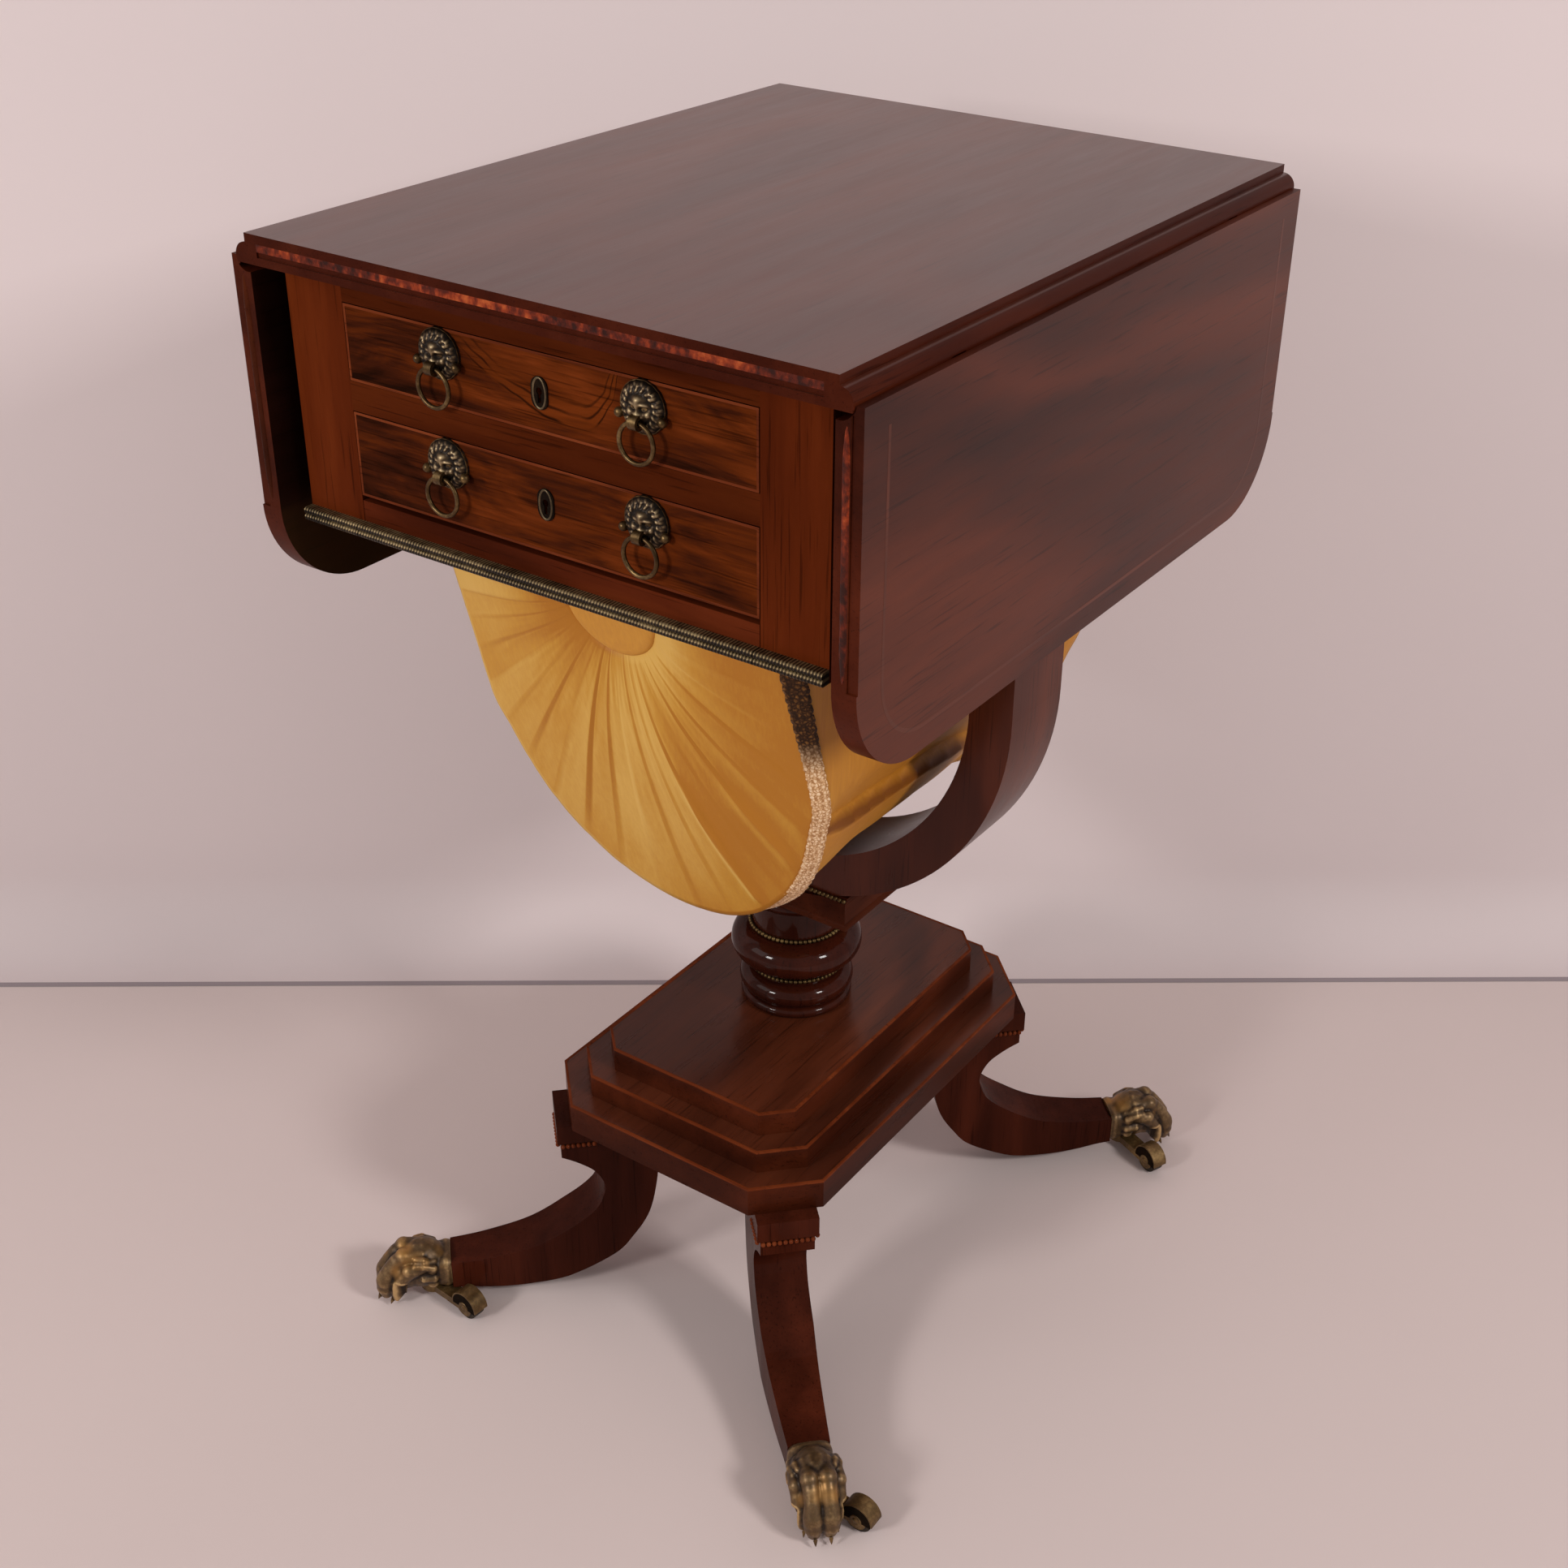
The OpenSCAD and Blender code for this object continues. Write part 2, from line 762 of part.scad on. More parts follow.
module bead_ring(z) {
    translate([0, 0, z]) rotate_extrude() translate([ring_bead_r, 0]) circle(bead_d / 2);
}

module column() {
    color(mahogany) difference() {
        rotate_extrude() intersection() {
            column_outline();
            translate([0, column_z]) square([torus_r + cut, block_z - column_z]);
        }
        bead_ring(lower_ring_z);
        bead_ring(upper_ring_z);
    }
}

module column_bead_rings() {
    color(brass) {
        bead_ring(lower_ring_z);
        bead_ring(upper_ring_z);
    }
}

module tier(w, d, c, z, h) {
    translate([0, 0, z]) linear_extrude(h) polygon(canted(w, d, c));
}

module plinth_base() {
    color(mahogany) tier(base_w, base_d, base_cant, plinth_z, base_h);
}

module plinth_middle() {
    color(mahogany)
        tier(base_w - 2 * tier_step, base_d - 2 * tier_step, middle_cant, middle_z, middle_h);
}

module plinth_top() {
    upper_w = base_w - 4 * tier_step + 2;
    upper_d = base_d - 4 * tier_step + 4;
    color(rosewood) tier(upper_w, upper_d, upper_cant, upper_z, upper_h);
}

// Places a leg drawn along +X, from the canted corner outwards, at one corner
module at_corner(sx, sy) {
    translate([sx * corner_x, sy * corner_y, 0]) rotate([0, 0, sx > 0 ? sy * 45 : 180 - sy * 45])
        children();
}

module each_corner() {
    for (sx = [-1, 1], sy = [-1, 1]) at_corner(sx, sy) children();
}

module leg_outline() {
    polygon(concat([[head_out, leg_h]], spline(leg_outer, 6), spline(leg_inner, 6),
        [[leg_inner[len(leg_inner) - 1][0], leg_h]]));
}

module leg() {
    color(mahogany) intersection() {
        along_y(leg_top_w + cut) leg_outline();
        linear_extrude(leg_h) polygon([
            [-leg_reach, -leg_top_w / 2], [head_out, -leg_top_w / 2], [leg_reach, -leg_ankle_w / 2],
            [leg_reach, leg_ankle_w / 2], [head_out, leg_top_w / 2], [-leg_reach, leg_top_w / 2]
        ]);
    }
}

module leg_front_left() {
    at_corner(-1, -1) leg();
}

module leg_front_right() {
    at_corner(1, -1) leg();
}

module leg_back_left() {
    at_corner(-1, 1) leg();
}

module leg_back_right() {
    at_corner(1, 1) leg();
}

// Three-sided moulding round the head of each leg
module leg_head_mouldings() {
    half = leg_top_w / 2;
    color(mahogany) each_corner() difference() {
        block([-base_cant / 2, -half - cornice_t, leg_h - cornice_h],
            [head_out + cornice_t, half + cornice_t, leg_h]);
        block([-base_cant, -half, 0], [head_out, half, leg_h + cut]);
    }
}

// Side outline of a paw: collar, knuckles, toes and the arched sole
toe_l = 0.231 * paw_l;
module paw_side() {
    toe = leg_reach + paw_l;
    shares = [
        [0, 0.735], [0.135, 0.776], [0.231, 1], [0.423, 1], [0.577, 0.939], [0.788, 0.816],
        [0.942, 0.551], [1, 0.204]
    ];
    top_points = concat([for (p = shares) [leg_reach + p[0] * paw_l, p[1] * paw_h]], [[toe, toe_lift]]);
    polygon(concat(spline(top_points, 5),
        [[toe - toe_l, toe_lift], [toe - 1.21 * toe_l, paw_sole_h], [leg_reach, paw_sole_h]]));
}

// Plan outline of a paw: the ankle, the pad and four toes
module paw_plan() {
    toe = leg_reach + paw_l;
    half = paw_w / 2;
    toe_r = paw_w / 8 + 0.8;
    collar = leg_ankle_w / 2 + 0.5;
    collar_s = leg_reach + 0.173 * paw_l;
    wide_s = leg_reach + 0.385 * paw_l;
    polygon([
        [leg_reach, -collar], [collar_s, -collar - 0.5], [wide_s, -half], [toe - toe_l, -half],
        [toe - toe_l, half], [wide_s, half], [collar_s, collar + 0.5], [leg_reach, collar]
    ]);
    for (side = [-1, 1]) {
        translate([toe - toe_r, side * paw_w / 8]) circle(toe_r);
        translate([toe - toe_r - 0.75 * toe_l, side * (toe_r * 0.6)]) circle(toe_r + 2);
        translate([toe - toe_l, side * (half - toe_r)]) circle(toe_r);
    }
}

cap_r = wheel_r + 1.6;
swing_from = 30;
swing_to = 146;

// Hollow in one side of a paw that the swivelling wheel passes through
module castor_swing() {
    rotate([0, 0, swing_from]) rotate_extrude(angle = swing_to - swing_from)
        translate([castor_trail - cap_r - 0.6, 0]) square([2 * paw_w, wheel_r + cap_r + 1]);
}

module paw_caps() {
    color(brass) each_corner() difference() {
        intersection() {
            along_y(paw_w + 2 * cut) paw_side();
            linear_extrude(paw_h + cut) paw_plan();
        }
        translate([castor_s, 0, 0]) {
            cylinder(d = pintle_d + 2 * pin_gap, h = paw_h / 2 + 2);
            castor_swing();
            mirror([0, 1, 0]) castor_swing();
        }
    }
}

// Castor drawn with its pivot on the Z axis and its wheel towards +X
module castor_fork() {
    plate_z = paw_sole_h - seat_gap;
    color(brass) {
        difference() {
            union() {
                translate([0, 0, plate_z - 6]) cylinder(r = 9, h = 6);
                cylinder(d = pintle_d, h = paw_h / 2);
                block([0, -fork_w / 2, wheel_r - 4], [castor_trail, fork_w / 2, plate_z - 0.6]);
                translate([castor_trail, 0, wheel_r]) bar_y(wheel_r - 3, fork_w);
                intersection() {
                    translate([castor_trail, 0, wheel_r]) bar_y(cap_r, fork_w);
                    block([0, -fork_w, wheel_r], [2 * castor_trail, fork_w, 3 * wheel_r]);
                }
            }
            translate([castor_trail, 0, wheel_r])
                bar_y(wheel_r + wheel_gap, wheel_t + 2 * wheel_gap);
            translate([castor_trail, 0, wheel_r]) bar_y(axle_d / 2, fork_w + cut);
            translate([0, 0, -cut]) cylinder(r = 20, h = plate_z - 6 + cut);
        }
        translate([castor_trail, 0, wheel_r]) bar_y(axle_d / 2, fork_w);
    }
}

module castor_wheel() {
    color(brass) translate([castor_trail, 0, wheel_r]) difference() {
        bar_y(wheel_r, wheel_t);
        bar_y(axle_d / 2 + pin_gap, wheel_t + cut);
    }
}

module at_castor(sx, sy, angle) {
    at_corner(sx, sy) translate([castor_s, 0, 0]) rotate([0, 0, angle]) children();
}

module castor_fork_front_left() {
    at_castor(-1, -1, castor_front_left) castor_fork();
}

module castor_fork_front_right() {
    at_castor(1, -1, castor_front_right) castor_fork();
}

module castor_fork_back_left() {
    at_castor(-1, 1, castor_back_left) castor_fork();
}

module castor_fork_back_right() {
    at_castor(1, 1, castor_back_right) castor_fork();
}

module castor_wheel_front_left() {
    at_castor(-1, -1, castor_front_left) castor_wheel();
}

module castor_wheel_front_right() {
    at_castor(1, -1, castor_front_right) castor_wheel();
}

module castor_wheel_back_left() {
    at_castor(-1, 1, castor_back_left) castor_wheel();
}

module castor_wheel_back_right() {
    at_castor(1, 1, castor_back_right) castor_wheel();
}

// Keyhole: a round hole with a slot below it
module keyhole(l) {
    bar_y(1.9, l);
    block([-1, -l / 2, -6], [1, l / 2, 0]);
}

groove_in = 3;
groove_up = 4;
groove_x = slide_x - drawer_side_t + groove_in;

// Heights of the keyhole and of the masks of a drawer whose opening starts at z and is h high
function key_z(z, h) = z + h - drawer_gap - keyhole_down;
function pull_z(z, h) = z + h - drawer_gap - mask_d / 2;

module at_pulls(z, h) {
    for (x = [-pull_x, pull_x]) translate([x, front_y, pull_z(z, h)]) children();
}

module drawer_front(z, h) {
    top = z + h - drawer_gap;
    inner_y = front_y + drawer_front_t;
    floor_z = z + seat_gap + groove_up;
    color(rosewood) difference() {
        block([-slide_x, front_y, z + seat_gap], [slide_x, inner_y, top]);
        block([-lock_w / 2, inner_y - lock_t, top - lock_h], [lock_w / 2, inner_y + cut, top + cut]);
        translate([0, front_y, key_z(z, h)]) keyhole(2 * drawer_front_t);
        block([-groove_x, inner_y - groove_in, floor_z],
            [groove_x, inner_y + cut, floor_z + drawer_bottom_t]);
        at_pulls(z, h) bar_y(post_d / 2, 3 * drawer_front_t);
    }
}

module drawer_box(z, h) {
    low = z + seat_gap;
    high = z + h - 6;
    start = front_y + drawer_front_t;
    end = start + drawer_l;
    floor_z = low + groove_up;
    color(inner_wood) {
        both_sides() difference() {
            block([slide_x - drawer_side_t, start, low], [slide_x, end, high]);
            block([0, start - cut, floor_z], [groove_x, end + cut, floor_z + drawer_bottom_t]);
        }
        block([drawer_side_t - slide_x, end - drawer_side_t, floor_z + drawer_bottom_t],
            [slide_x - drawer_side_t, end, high]);
    }
}

module drawer_base(z) {
    start = front_y + drawer_front_t;
    floor_z = z + seat_gap + groove_up;
    color(inner_wood)
        block([-groove_x, start - groove_in, floor_z],
            [groove_x, start + drawer_l, floor_z + drawer_bottom_t]);
}

module escutcheon(z, h) {
    r = escutcheon_w / 2;
    color(brass) translate([0, front_y - escutcheon_t / 2, key_z(z, h)]) difference() {
        union() {
            for (up = [-1, 1]) translate([0, 0, up * (escutcheon_h / 2 - r) - 1]) bar_y(r, escutcheon_t);
            block([-r, -escutcheon_t / 2, r - escutcheon_h / 2 - 1],
                [r, escutcheon_t / 2, escutcheon_h / 2 - r - 1]);
        }
        keyhole(2 * escutcheon_t);
    }
}

// Shaft of a bolt in its lock case, widened by gap
module bolt_shape(z, h, gap) {
    top = z + h - drawer_gap;
    block([-bolt_w / 2 - gap, bolt_y - bolt_t / 2 - gap, top - bolt_h - gap],
        [bolt_w / 2 + gap, bolt_y + bolt_t / 2 + gap, top]);
}

module lock_case(z, h) {
    top = z + h - drawer_gap;
    inner_y = front_y + drawer_front_t;
    color(brass) difference() {
        block([-lock_w / 2, inner_y - lock_t, top - lock_h], [lock_w / 2, inner_y, top]);
        bolt_shape(z, h, bolt_gap);
        translate([0, 0, cut]) bolt_shape(z, h, bolt_gap);
        translate([0, inner_y - lock_t, key_z(z, h)]) keyhole(lock_t);
    }
}

module lock_bolt(z, h) {
    color(brass) bolt_shape(z, h, 0);
}

// Mask with its dome, lug and side bosses, drawn on the face plane Y = 0, with its post and nut
module mask() {
    r = mask_d / 2;
    plate_t = 1.5;
    dome_r = (r * r + mask_dome_h * mask_dome_h) / (2 * mask_dome_h);
    lug_r = ring_t / 2 + 2.6;
    difference() {
        union() {
            translate([0, -plate_t / 2, 0]) bar_y(r, plate_t);
            rotate([90, 0, 0]) rotate_extrude() intersection() {
                translate([0, mask_dome_h - dome_r]) circle(dome_r);
                square([r, mask_dome_h + cut]);
            }
            translate([0, -ring_out, -ring_drop]) bar_x(lug_r, lug_w);
            block([-lug_w / 2, -ring_out, -ring_drop - lug_r / 2], [lug_w / 2, 0, lug_r - ring_drop]);
            for (x = [-1, 1]) translate([x * (r - 0.6), -3, 1.5 - ring_drop]) sphere(2.6);
            translate([0, drawer_front_t / 2, 0]) bar_y(post_d / 2, drawer_front_t);
        }
        translate([0, -ring_out, -ring_drop]) bar_x(ring_t / 2 + 0.65, lug_w + cut);
    }
    translate([0, drawer_front_t + 1.25, 0]) difference() {
        rotate([90, 0, 0]) cylinder(d = post_d * 2, h = 2.5, center = true, $fn = 6);
        bar_y(post_d / 2, drawer_front_t);
    }
    translate([0, drawer_front_t + 1.25, 0]) bar_y(post_d / 2, 2.5);
}

module masks(z, h) {
    color(brass) at_pulls(z, h) mask();
}

module ring(x, z, h) {
    major = (ring_d - ring_t) / 2;
    color(brass) translate([x, front_y - ring_out, pull_z(z, h) - ring_drop - major]) rotate([90, 0, 0])
        rotate_extrude() translate([major, 0]) circle(ring_t / 2);
}

module drawer_top_front() {
    drawer_front(drawer_top_z, drawer_top_h);
}

module drawer_top_box() {
    drawer_box(drawer_top_z, drawer_top_h);
}

module drawer_top_base() {
    drawer_base(drawer_top_z);
}

module drawer_top_escutcheon() {
    escutcheon(drawer_top_z, drawer_top_h);
}

module drawer_top_lock() {
    lock_case(drawer_top_z, drawer_top_h);
}

module drawer_top_masks() {
    masks(drawer_top_z, drawer_top_h);
}

module lock_bolt_top() {
    lock_bolt(drawer_top_z, drawer_top_h);
}

module ring_top_left() {
    ring(-pull_x, drawer_top_z, drawer_top_h);
}

module ring_top_right() {
    ring(pull_x, drawer_top_z, drawer_top_h);
}

module drawer_bottom_front() {
    drawer_front(drawer_bottom_z, drawer_bottom_h);
}

module drawer_bottom_box() {
    drawer_box(drawer_bottom_z, drawer_bottom_h);
}

module drawer_bottom_base() {
    drawer_base(drawer_bottom_z);
}

module drawer_bottom_escutcheon() {
    escutcheon(drawer_bottom_z, drawer_bottom_h);
}

module drawer_bottom_lock() {
    lock_case(drawer_bottom_z, drawer_bottom_h);
}

module drawer_bottom_masks() {
    masks(drawer_bottom_z, drawer_bottom_h);
}

module lock_bolt_bottom() {
    lock_bolt(drawer_bottom_z, drawer_bottom_h);
}

module ring_bottom_left() {
    ring(-pull_x, drawer_bottom_z, drawer_bottom_h);
}

module ring_bottom_right() {
    ring(pull_x, drawer_bottom_z, drawer_bottom_h);
}

module bag_slide_front() {
    color(mahogany)
        block([-slide_x, front_y, carcase_z], [slide_x, front_y + slide_front_t, slide_top_z]);
}

cross_rail_w = 18;

module bag_slide_frame() {
    start = front_y + slide_front_t;
    end = bag_half_l + 8;
    color(inner_wood) difference() {
        block([-slide_x, start, frame_z], [slide_x, end, frame_z + slide_rail_h]);
        block([slide_rail_w - slide_x, cross_rail_w - end, frame_z - cut],
            [slide_x - slide_rail_w, end - cross_rail_w, frame_z + slide_rail_h + cut]);
    }
}

// Outline of the bag from the front, shrunk by inset
module bag_end(inset) {
    translate([0, bag_centre_z]) circle(bag_r - inset);
    translate([inset - bag_r, bag_centre_z])
        square([2 * (bag_r - inset), bag_top_z - bag_centre_z + inset]);
}

// Outline of the bag from the side, with both ends sloping inwards, shrunk by inset
module bag_side(inset) {
    low = bag_centre_z - bag_r;
    high = bag_top_z + (inset > 0 ? cut : 0);
    run = bag_slope * (high - low);
    top_y = bag_half_l - inset + bag_slope * (high - bag_top_z);
    polygon([[run - top_y, low], [top_y - run, low], [top_y, high], [-top_y, high]]);
}

module bag_body(inset) {
    intersection() {
        along_y(3 * bag_half_l) bag_end(inset);
        rotate([90, 0, 90]) linear_extrude(3 * bag_r, center = true) bag_side(inset);
    }
}

module silk_bag() {
    color(silk) difference() {
        bag_body(0);
        bag_body(bag_wall);
    }
}

top_board();
top_edge_bands();
carcase_sides();
carcase_back();
corner_stiles();
drawer_rails();
drawer_runners();
slide_runners();
stile_mouldings();
u_support();
u_block();
block_beading();
column();
column_bead_rings();
plinth_base();
plinth_middle();
plinth_top();
leg_front_left();
leg_front_right();
leg_back_left();
leg_back_right();
leg_head_mouldings();
paw_caps();
leaf_brackets();
hinge_fixed_flaps();
hinge_pins();
right_leaf();
right_leaf_flaps();
left_leaf();
left_leaf_flaps();
drawer_top_front();
drawer_top_box();
drawer_top_base();
drawer_top_escutcheon();
drawer_top_lock();
drawer_top_masks();
lock_bolt_top();
ring_top_left();
ring_top_right();
drawer_bottom_front();
drawer_bottom_box();
drawer_bottom_base();
drawer_bottom_escutcheon();
drawer_bottom_lock();
drawer_bottom_masks();
lock_bolt_bottom();
ring_bottom_left();
ring_bottom_right();
bag_slide_front();
bag_slide_frame();
bag_slide_moulding();
silk_bag();
castor_fork_front_left();
castor_fork_front_right();
castor_fork_back_left();
castor_fork_back_right();
castor_wheel_front_left();
castor_wheel_front_right();
castor_wheel_back_left();
castor_wheel_back_right();
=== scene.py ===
import math
import random

import bpy
import numpy as np
from mathutils import Matrix, Vector, noise


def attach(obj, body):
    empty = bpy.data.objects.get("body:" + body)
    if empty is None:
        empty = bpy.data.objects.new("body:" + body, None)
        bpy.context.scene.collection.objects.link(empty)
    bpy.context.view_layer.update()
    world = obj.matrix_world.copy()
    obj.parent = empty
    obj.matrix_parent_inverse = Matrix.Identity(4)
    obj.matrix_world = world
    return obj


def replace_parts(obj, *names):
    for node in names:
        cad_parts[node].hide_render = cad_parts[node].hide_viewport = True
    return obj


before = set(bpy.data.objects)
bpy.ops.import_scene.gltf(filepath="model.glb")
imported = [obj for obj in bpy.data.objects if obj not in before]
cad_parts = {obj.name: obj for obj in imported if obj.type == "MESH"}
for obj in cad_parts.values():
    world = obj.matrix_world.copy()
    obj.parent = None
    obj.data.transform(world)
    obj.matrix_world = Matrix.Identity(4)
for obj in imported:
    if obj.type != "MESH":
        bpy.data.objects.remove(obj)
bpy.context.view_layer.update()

scene = bpy.context.scene
scene.view_settings.view_transform = "Standard"
MM = 0.001  # pieces are worked out in millimetres
TURN = 2 * math.pi
CYCLE = 6.283  # a full turn, in the sine nodes of the materials


def lin(r, g, b):
    """sRGB 0-255 to a linear colour."""
    out = []
    for v in (r, g, b):
        v /= 255.0
        out.append(v / 12.92 if v <= 0.04045 else ((v + 0.055) / 1.055) ** 2.4)
    return tuple(out) + (1.0,)


def smooth(a, b, x):
    """0 up to a, 1 from b on, with a soft step between."""
    t = min(1.0, max(0.0, (x - a) / (b - a)))
    return t * t * (3 - 2 * t)


# Materials

class Mat:
    """A material around a Principled shader, with short calls for the nodes it is made of."""

    def __init__(self, name, **sockets):
        self.material = bpy.data.materials.new(name)
        self.material.use_nodes = True
        self.tree = self.material.node_tree
        self.shader = self.tree.nodes["Principled BSDF"]
        self.set(**sockets)

    def put(self, socket, value):
        if isinstance(value, bpy.types.NodeSocket):
            self.tree.links.new(value, socket)
        else:
            socket.default_value = value

    def set(self, **sockets):
        """Fill sockets of the shader; underscores stand for the spaces in their names."""
        for key, value in sockets.items():
            self.put(self.shader.inputs[key.replace("_", " ")], value)
        return self.material

    def node(self, kind, inputs=(), out=0, **settings):
        """Add a node and give back one of its outputs."""
        made = self.tree.nodes.new("ShaderNode" + kind)
        for key, value in settings.items():
            setattr(made, key, value)
        for key, value in dict(inputs).items():
            self.put(made.inputs[key], value)
        return made.outputs[out]

    def obj(self, scale=(1, 1, 1), loc=(0, 0, 0)):
        """Object coordinates; a pattern is drawn out along an axis whose scale is small."""
        coords = self.node("TexCoord", out="Object")
        return self.node("Mapping", {"Vector": coords, "Scale": scale, "Location": loc})

    def normal(self):
        return self.split(self.node("TexCoord", out="Normal"))

    def split(self, vector):
        """The x, y and z of a vector."""
        return self.node("SeparateXYZ", {0: vector}).node.outputs[:]

    def attribute(self, name):
        return self.node("Attribute", out="Fac", attribute_name=name, attribute_type="GEOMETRY")

    def noise(self, vector, scale, detail=3.0, rough=0.5, distortion=0.0):
        return self.node("TexNoise", {"Vector": vector, "Scale": scale, "Detail": detail,
                                      "Roughness": rough, "Distortion": distortion})

    def wave(self, vector, scale, axis):
        return self.node("TexWave", {"Vector": vector, "Scale": scale}, out="Fac",
                         wave_type="BANDS", bands_direction=axis)

    def math(self, op, a, b=0.0, c=0.0, clamp=False):
        return self.node("Math", {0: a, 1: b, 2: c}, operation=op, use_clamp=clamp)

    def add(self, a, b):
        return self.math("ADD", a, b)

    def mul(self, a, b):
        return self.math("MULTIPLY", a, b)

    def madd(self, a, b, c):
        """a times b, plus c."""
        return self.math("MULTIPLY_ADD", a, b, c)

    def ramp(self, fac, stops):
        """sRGB colours, or greys, at their places along fac."""
        made = self.tree.nodes.new("ShaderNodeValToRGB")
        elements = made.color_ramp.elements
        while len(elements) < len(stops):
            elements.new(0.5)
        for element, (place, color) in zip(elements, stops):
            element.position = place
            element.color = lin(*color) if isinstance(color, tuple) else (color, color, color, 1)
        self.put(made.inputs[0], fac)
        return made.outputs[0]

    def mix(self, fac, a, b, how="MIX"):
        return self.node("Mix", {0: fac, 6: a, 7: b}, 2, data_type="RGBA", blend_type=how)

    def tint(self, color, by):
        return self.mix(1.0, color, by, "MULTIPLY")

    def bump(self, height, strength, distance, below=None):
        inputs = {"Height": height, "Strength": strength, "Distance": distance}
        if below is not None:
            inputs["Normal"] = below
        return self.node("Bump", inputs)


ALONG = {"x": (0.10, 1, 1), "y": (1, 0.10, 1), "z": (1, 1, 0.10)}
EDGE_TINT = (0.8, 0.68, 0.6, 1)
INSIDE_SHADE = (0.16, 0.2, 0.25, 1)
EDGE_SPECULAR = 0.05


def wood(name, dark, mid, light, grain, bands, figure, contrast, rough, coat, coat_rough, seed,
         spec=0.01, face=None, inside=0, **sockets):
    """Polished wood: contour figure, fine streaks and dark pores along the grain.

    With a face, only the faces across that axis are polished. Inside is the sense of x in which
    a leaf is turned towards the carcase; painted shade makes it darker there.
    """
    m = Mat(name + "_wood", Coat_Weight=coat, Coat_Roughness=coat_rough, Specular_IOR_Level=spec,
            **sockets)
    along = ALONG[grain]
    contour = m.noise(m.obj([s ** 0.5 for s in along], (seed, seed * 1.7, -seed)), figure, 2.5, 0.45, 0.6)
    ring = m.madd(m.math("SINE", m.mul(contour, bands * CYCLE)), 0.5, 0.5)
    drawn_out = m.obj(along, (seed, 0.3 * seed, seed))
    streak = m.noise(drawn_out, 95.0, 5.0, 0.62, 0.3)
    tone = m.noise(drawn_out, 13.0, 3.0, 0.55)
    fac = m.madd(ring, contrast * 0.42, m.madd(streak, 0.31, m.mul(tone, 0.55)))
    fac = m.math("SUBTRACT", fac, contrast * 0.21 - 0.07)
    col = m.ramp(fac, [(0.22, dark), (0.5, mid), (0.78, light)])
    pores = m.noise(m.obj([s * 0.3 if s < 1 else 1 for s in along]), 700.0, 2.0, 0.5)
    col = m.tint(col, m.ramp(pores, [(0.30, 0.55), (0.40, 1.0)]))
    if face:
        normal = m.normal()
        flat = m.ramp(m.math("ABSOLUTE", normal["XYZ".index(face)]), [(0.9, 0.0), (0.97, 1.0)])
        col = m.mix(flat, m.tint(col, EDGE_TINT), col)
        polished = flat
        if inside:
            # Painted shade on the face turned towards the carcase
            back = m.ramp(m.mul(normal[0], inside), [(0.5, 0.0), (0.8, 1.0)])
            col = m.mix(back, col, m.tint(col, INSIDE_SHADE))
            polished = m.math("SUBTRACT", flat, back, clamp=True)
        m.set(Coat_Weight=m.mul(polished, coat),
              Specular_IOR_Level=m.madd(flat, spec - EDGE_SPECULAR, EDGE_SPECULAR))
    return m.set(Base_Color=col, Roughness=m.madd(streak, 0.16, rough - 0.06),
                 Normal=m.bump(pores, 0.12, 0.0002, m.bump(streak, 0.05, 0.0003)))


# Dark, mid and light sRGB colour; grain, bands, figure, contrast; roughness, coat, its roughness, seed
LEAF = ((44, 15, 7), (76, 31, 15), (106, 49, 29), "y", 5, 4.5, 0.5, 0.34, 0.12, 0.22, 5.0)
WOODS = {
    "top": ((48, 15, 8), (72, 29, 15), (96, 45, 26), "y", 5, 6, 0.3, 0.30, 0.22, 0.22, 2.0,
            {"spec": 0.45, "face": "Z", "Specular_Tint": (1.0, 0.74, 0.66, 1)}),
    "left_leaf": LEAF + ({"spec": 0.14, "face": "X", "inside": 1},),
    "right_leaf": LEAF + ({"spec": 0.14, "face": "X", "inside": -1},),
    "stile": ((54, 16, 4), (90, 35, 11), (120, 54, 21), "z", 4, 9, 0.35, 0.3, 0.0, 0.14, 1.0, {}),
    "rail": ((34, 10, 2), (66, 24, 6), (94, 40, 13), "x", 4, 9, 0.55, 0.3, 0.0, 0.14, 3.0, {}),
    "slide": ((40, 12, 5), (84, 33, 14), (118, 52, 24), "x", 5, 9, 0.5, 0.3, 0.0, 0.18, 4.0, {}),
    "u": ((46, 16, 7), (74, 31, 16), (100, 47, 27), "z", 4, 8, 0.35, 0.28, 0.14, 0.16, 6.0,
          {"spec": 0.1}),
    "plinth": ((38, 14, 7), (68, 30, 16), (98, 47, 27), "y", 5, 6, 0.45, 0.27, 0.2, 0.15, 8.0,
               {"spec": 0.2, "face": "Z"}),
    "plinth_side": ((40, 15, 7), (62, 26, 13), (88, 40, 21), "y", 4, 9, 0.3, 0.27, 0.03, 0.14, 9.0, {}),
    "turned": ((26, 8, 4), (46, 16, 8), (72, 28, 15), "z", 4, 9, 0.3, 0.16, 0.3, 0.05, 10.0,
               {"spec": 0.02}),
    "leg": ((34, 11, 6), (58, 23, 13), (86, 37, 22), "z", 4, 9, 0.35, 0.2, 0.06, 0.08, 11.0, {}),
    "inner": ((120, 82, 50), (152, 108, 68), (176, 132, 88), "y", 5, 6, 0.4, 0.6, 0.0, 0.3, 12.0, {}),
    "string": ((68, 28, 12), (102, 45, 21), (134, 66, 34), "x", 3, 30, 0.3, 0.35, 0.05, 0.2, 14.0, {}),
    "faint_line": ((50, 18, 9), (79, 34, 18), (102, 48, 28), "y", 3, 9, 0.3, 0.34, 0.14, 0.1, 0.0,
                   {"spec": 0.18}),
    "pellet": ((70, 28, 12), (104, 46, 22), (134, 66, 34), "z", 3, 30, 0.3, 0.3, 0.1, 0.1, 0.0, {}),
}


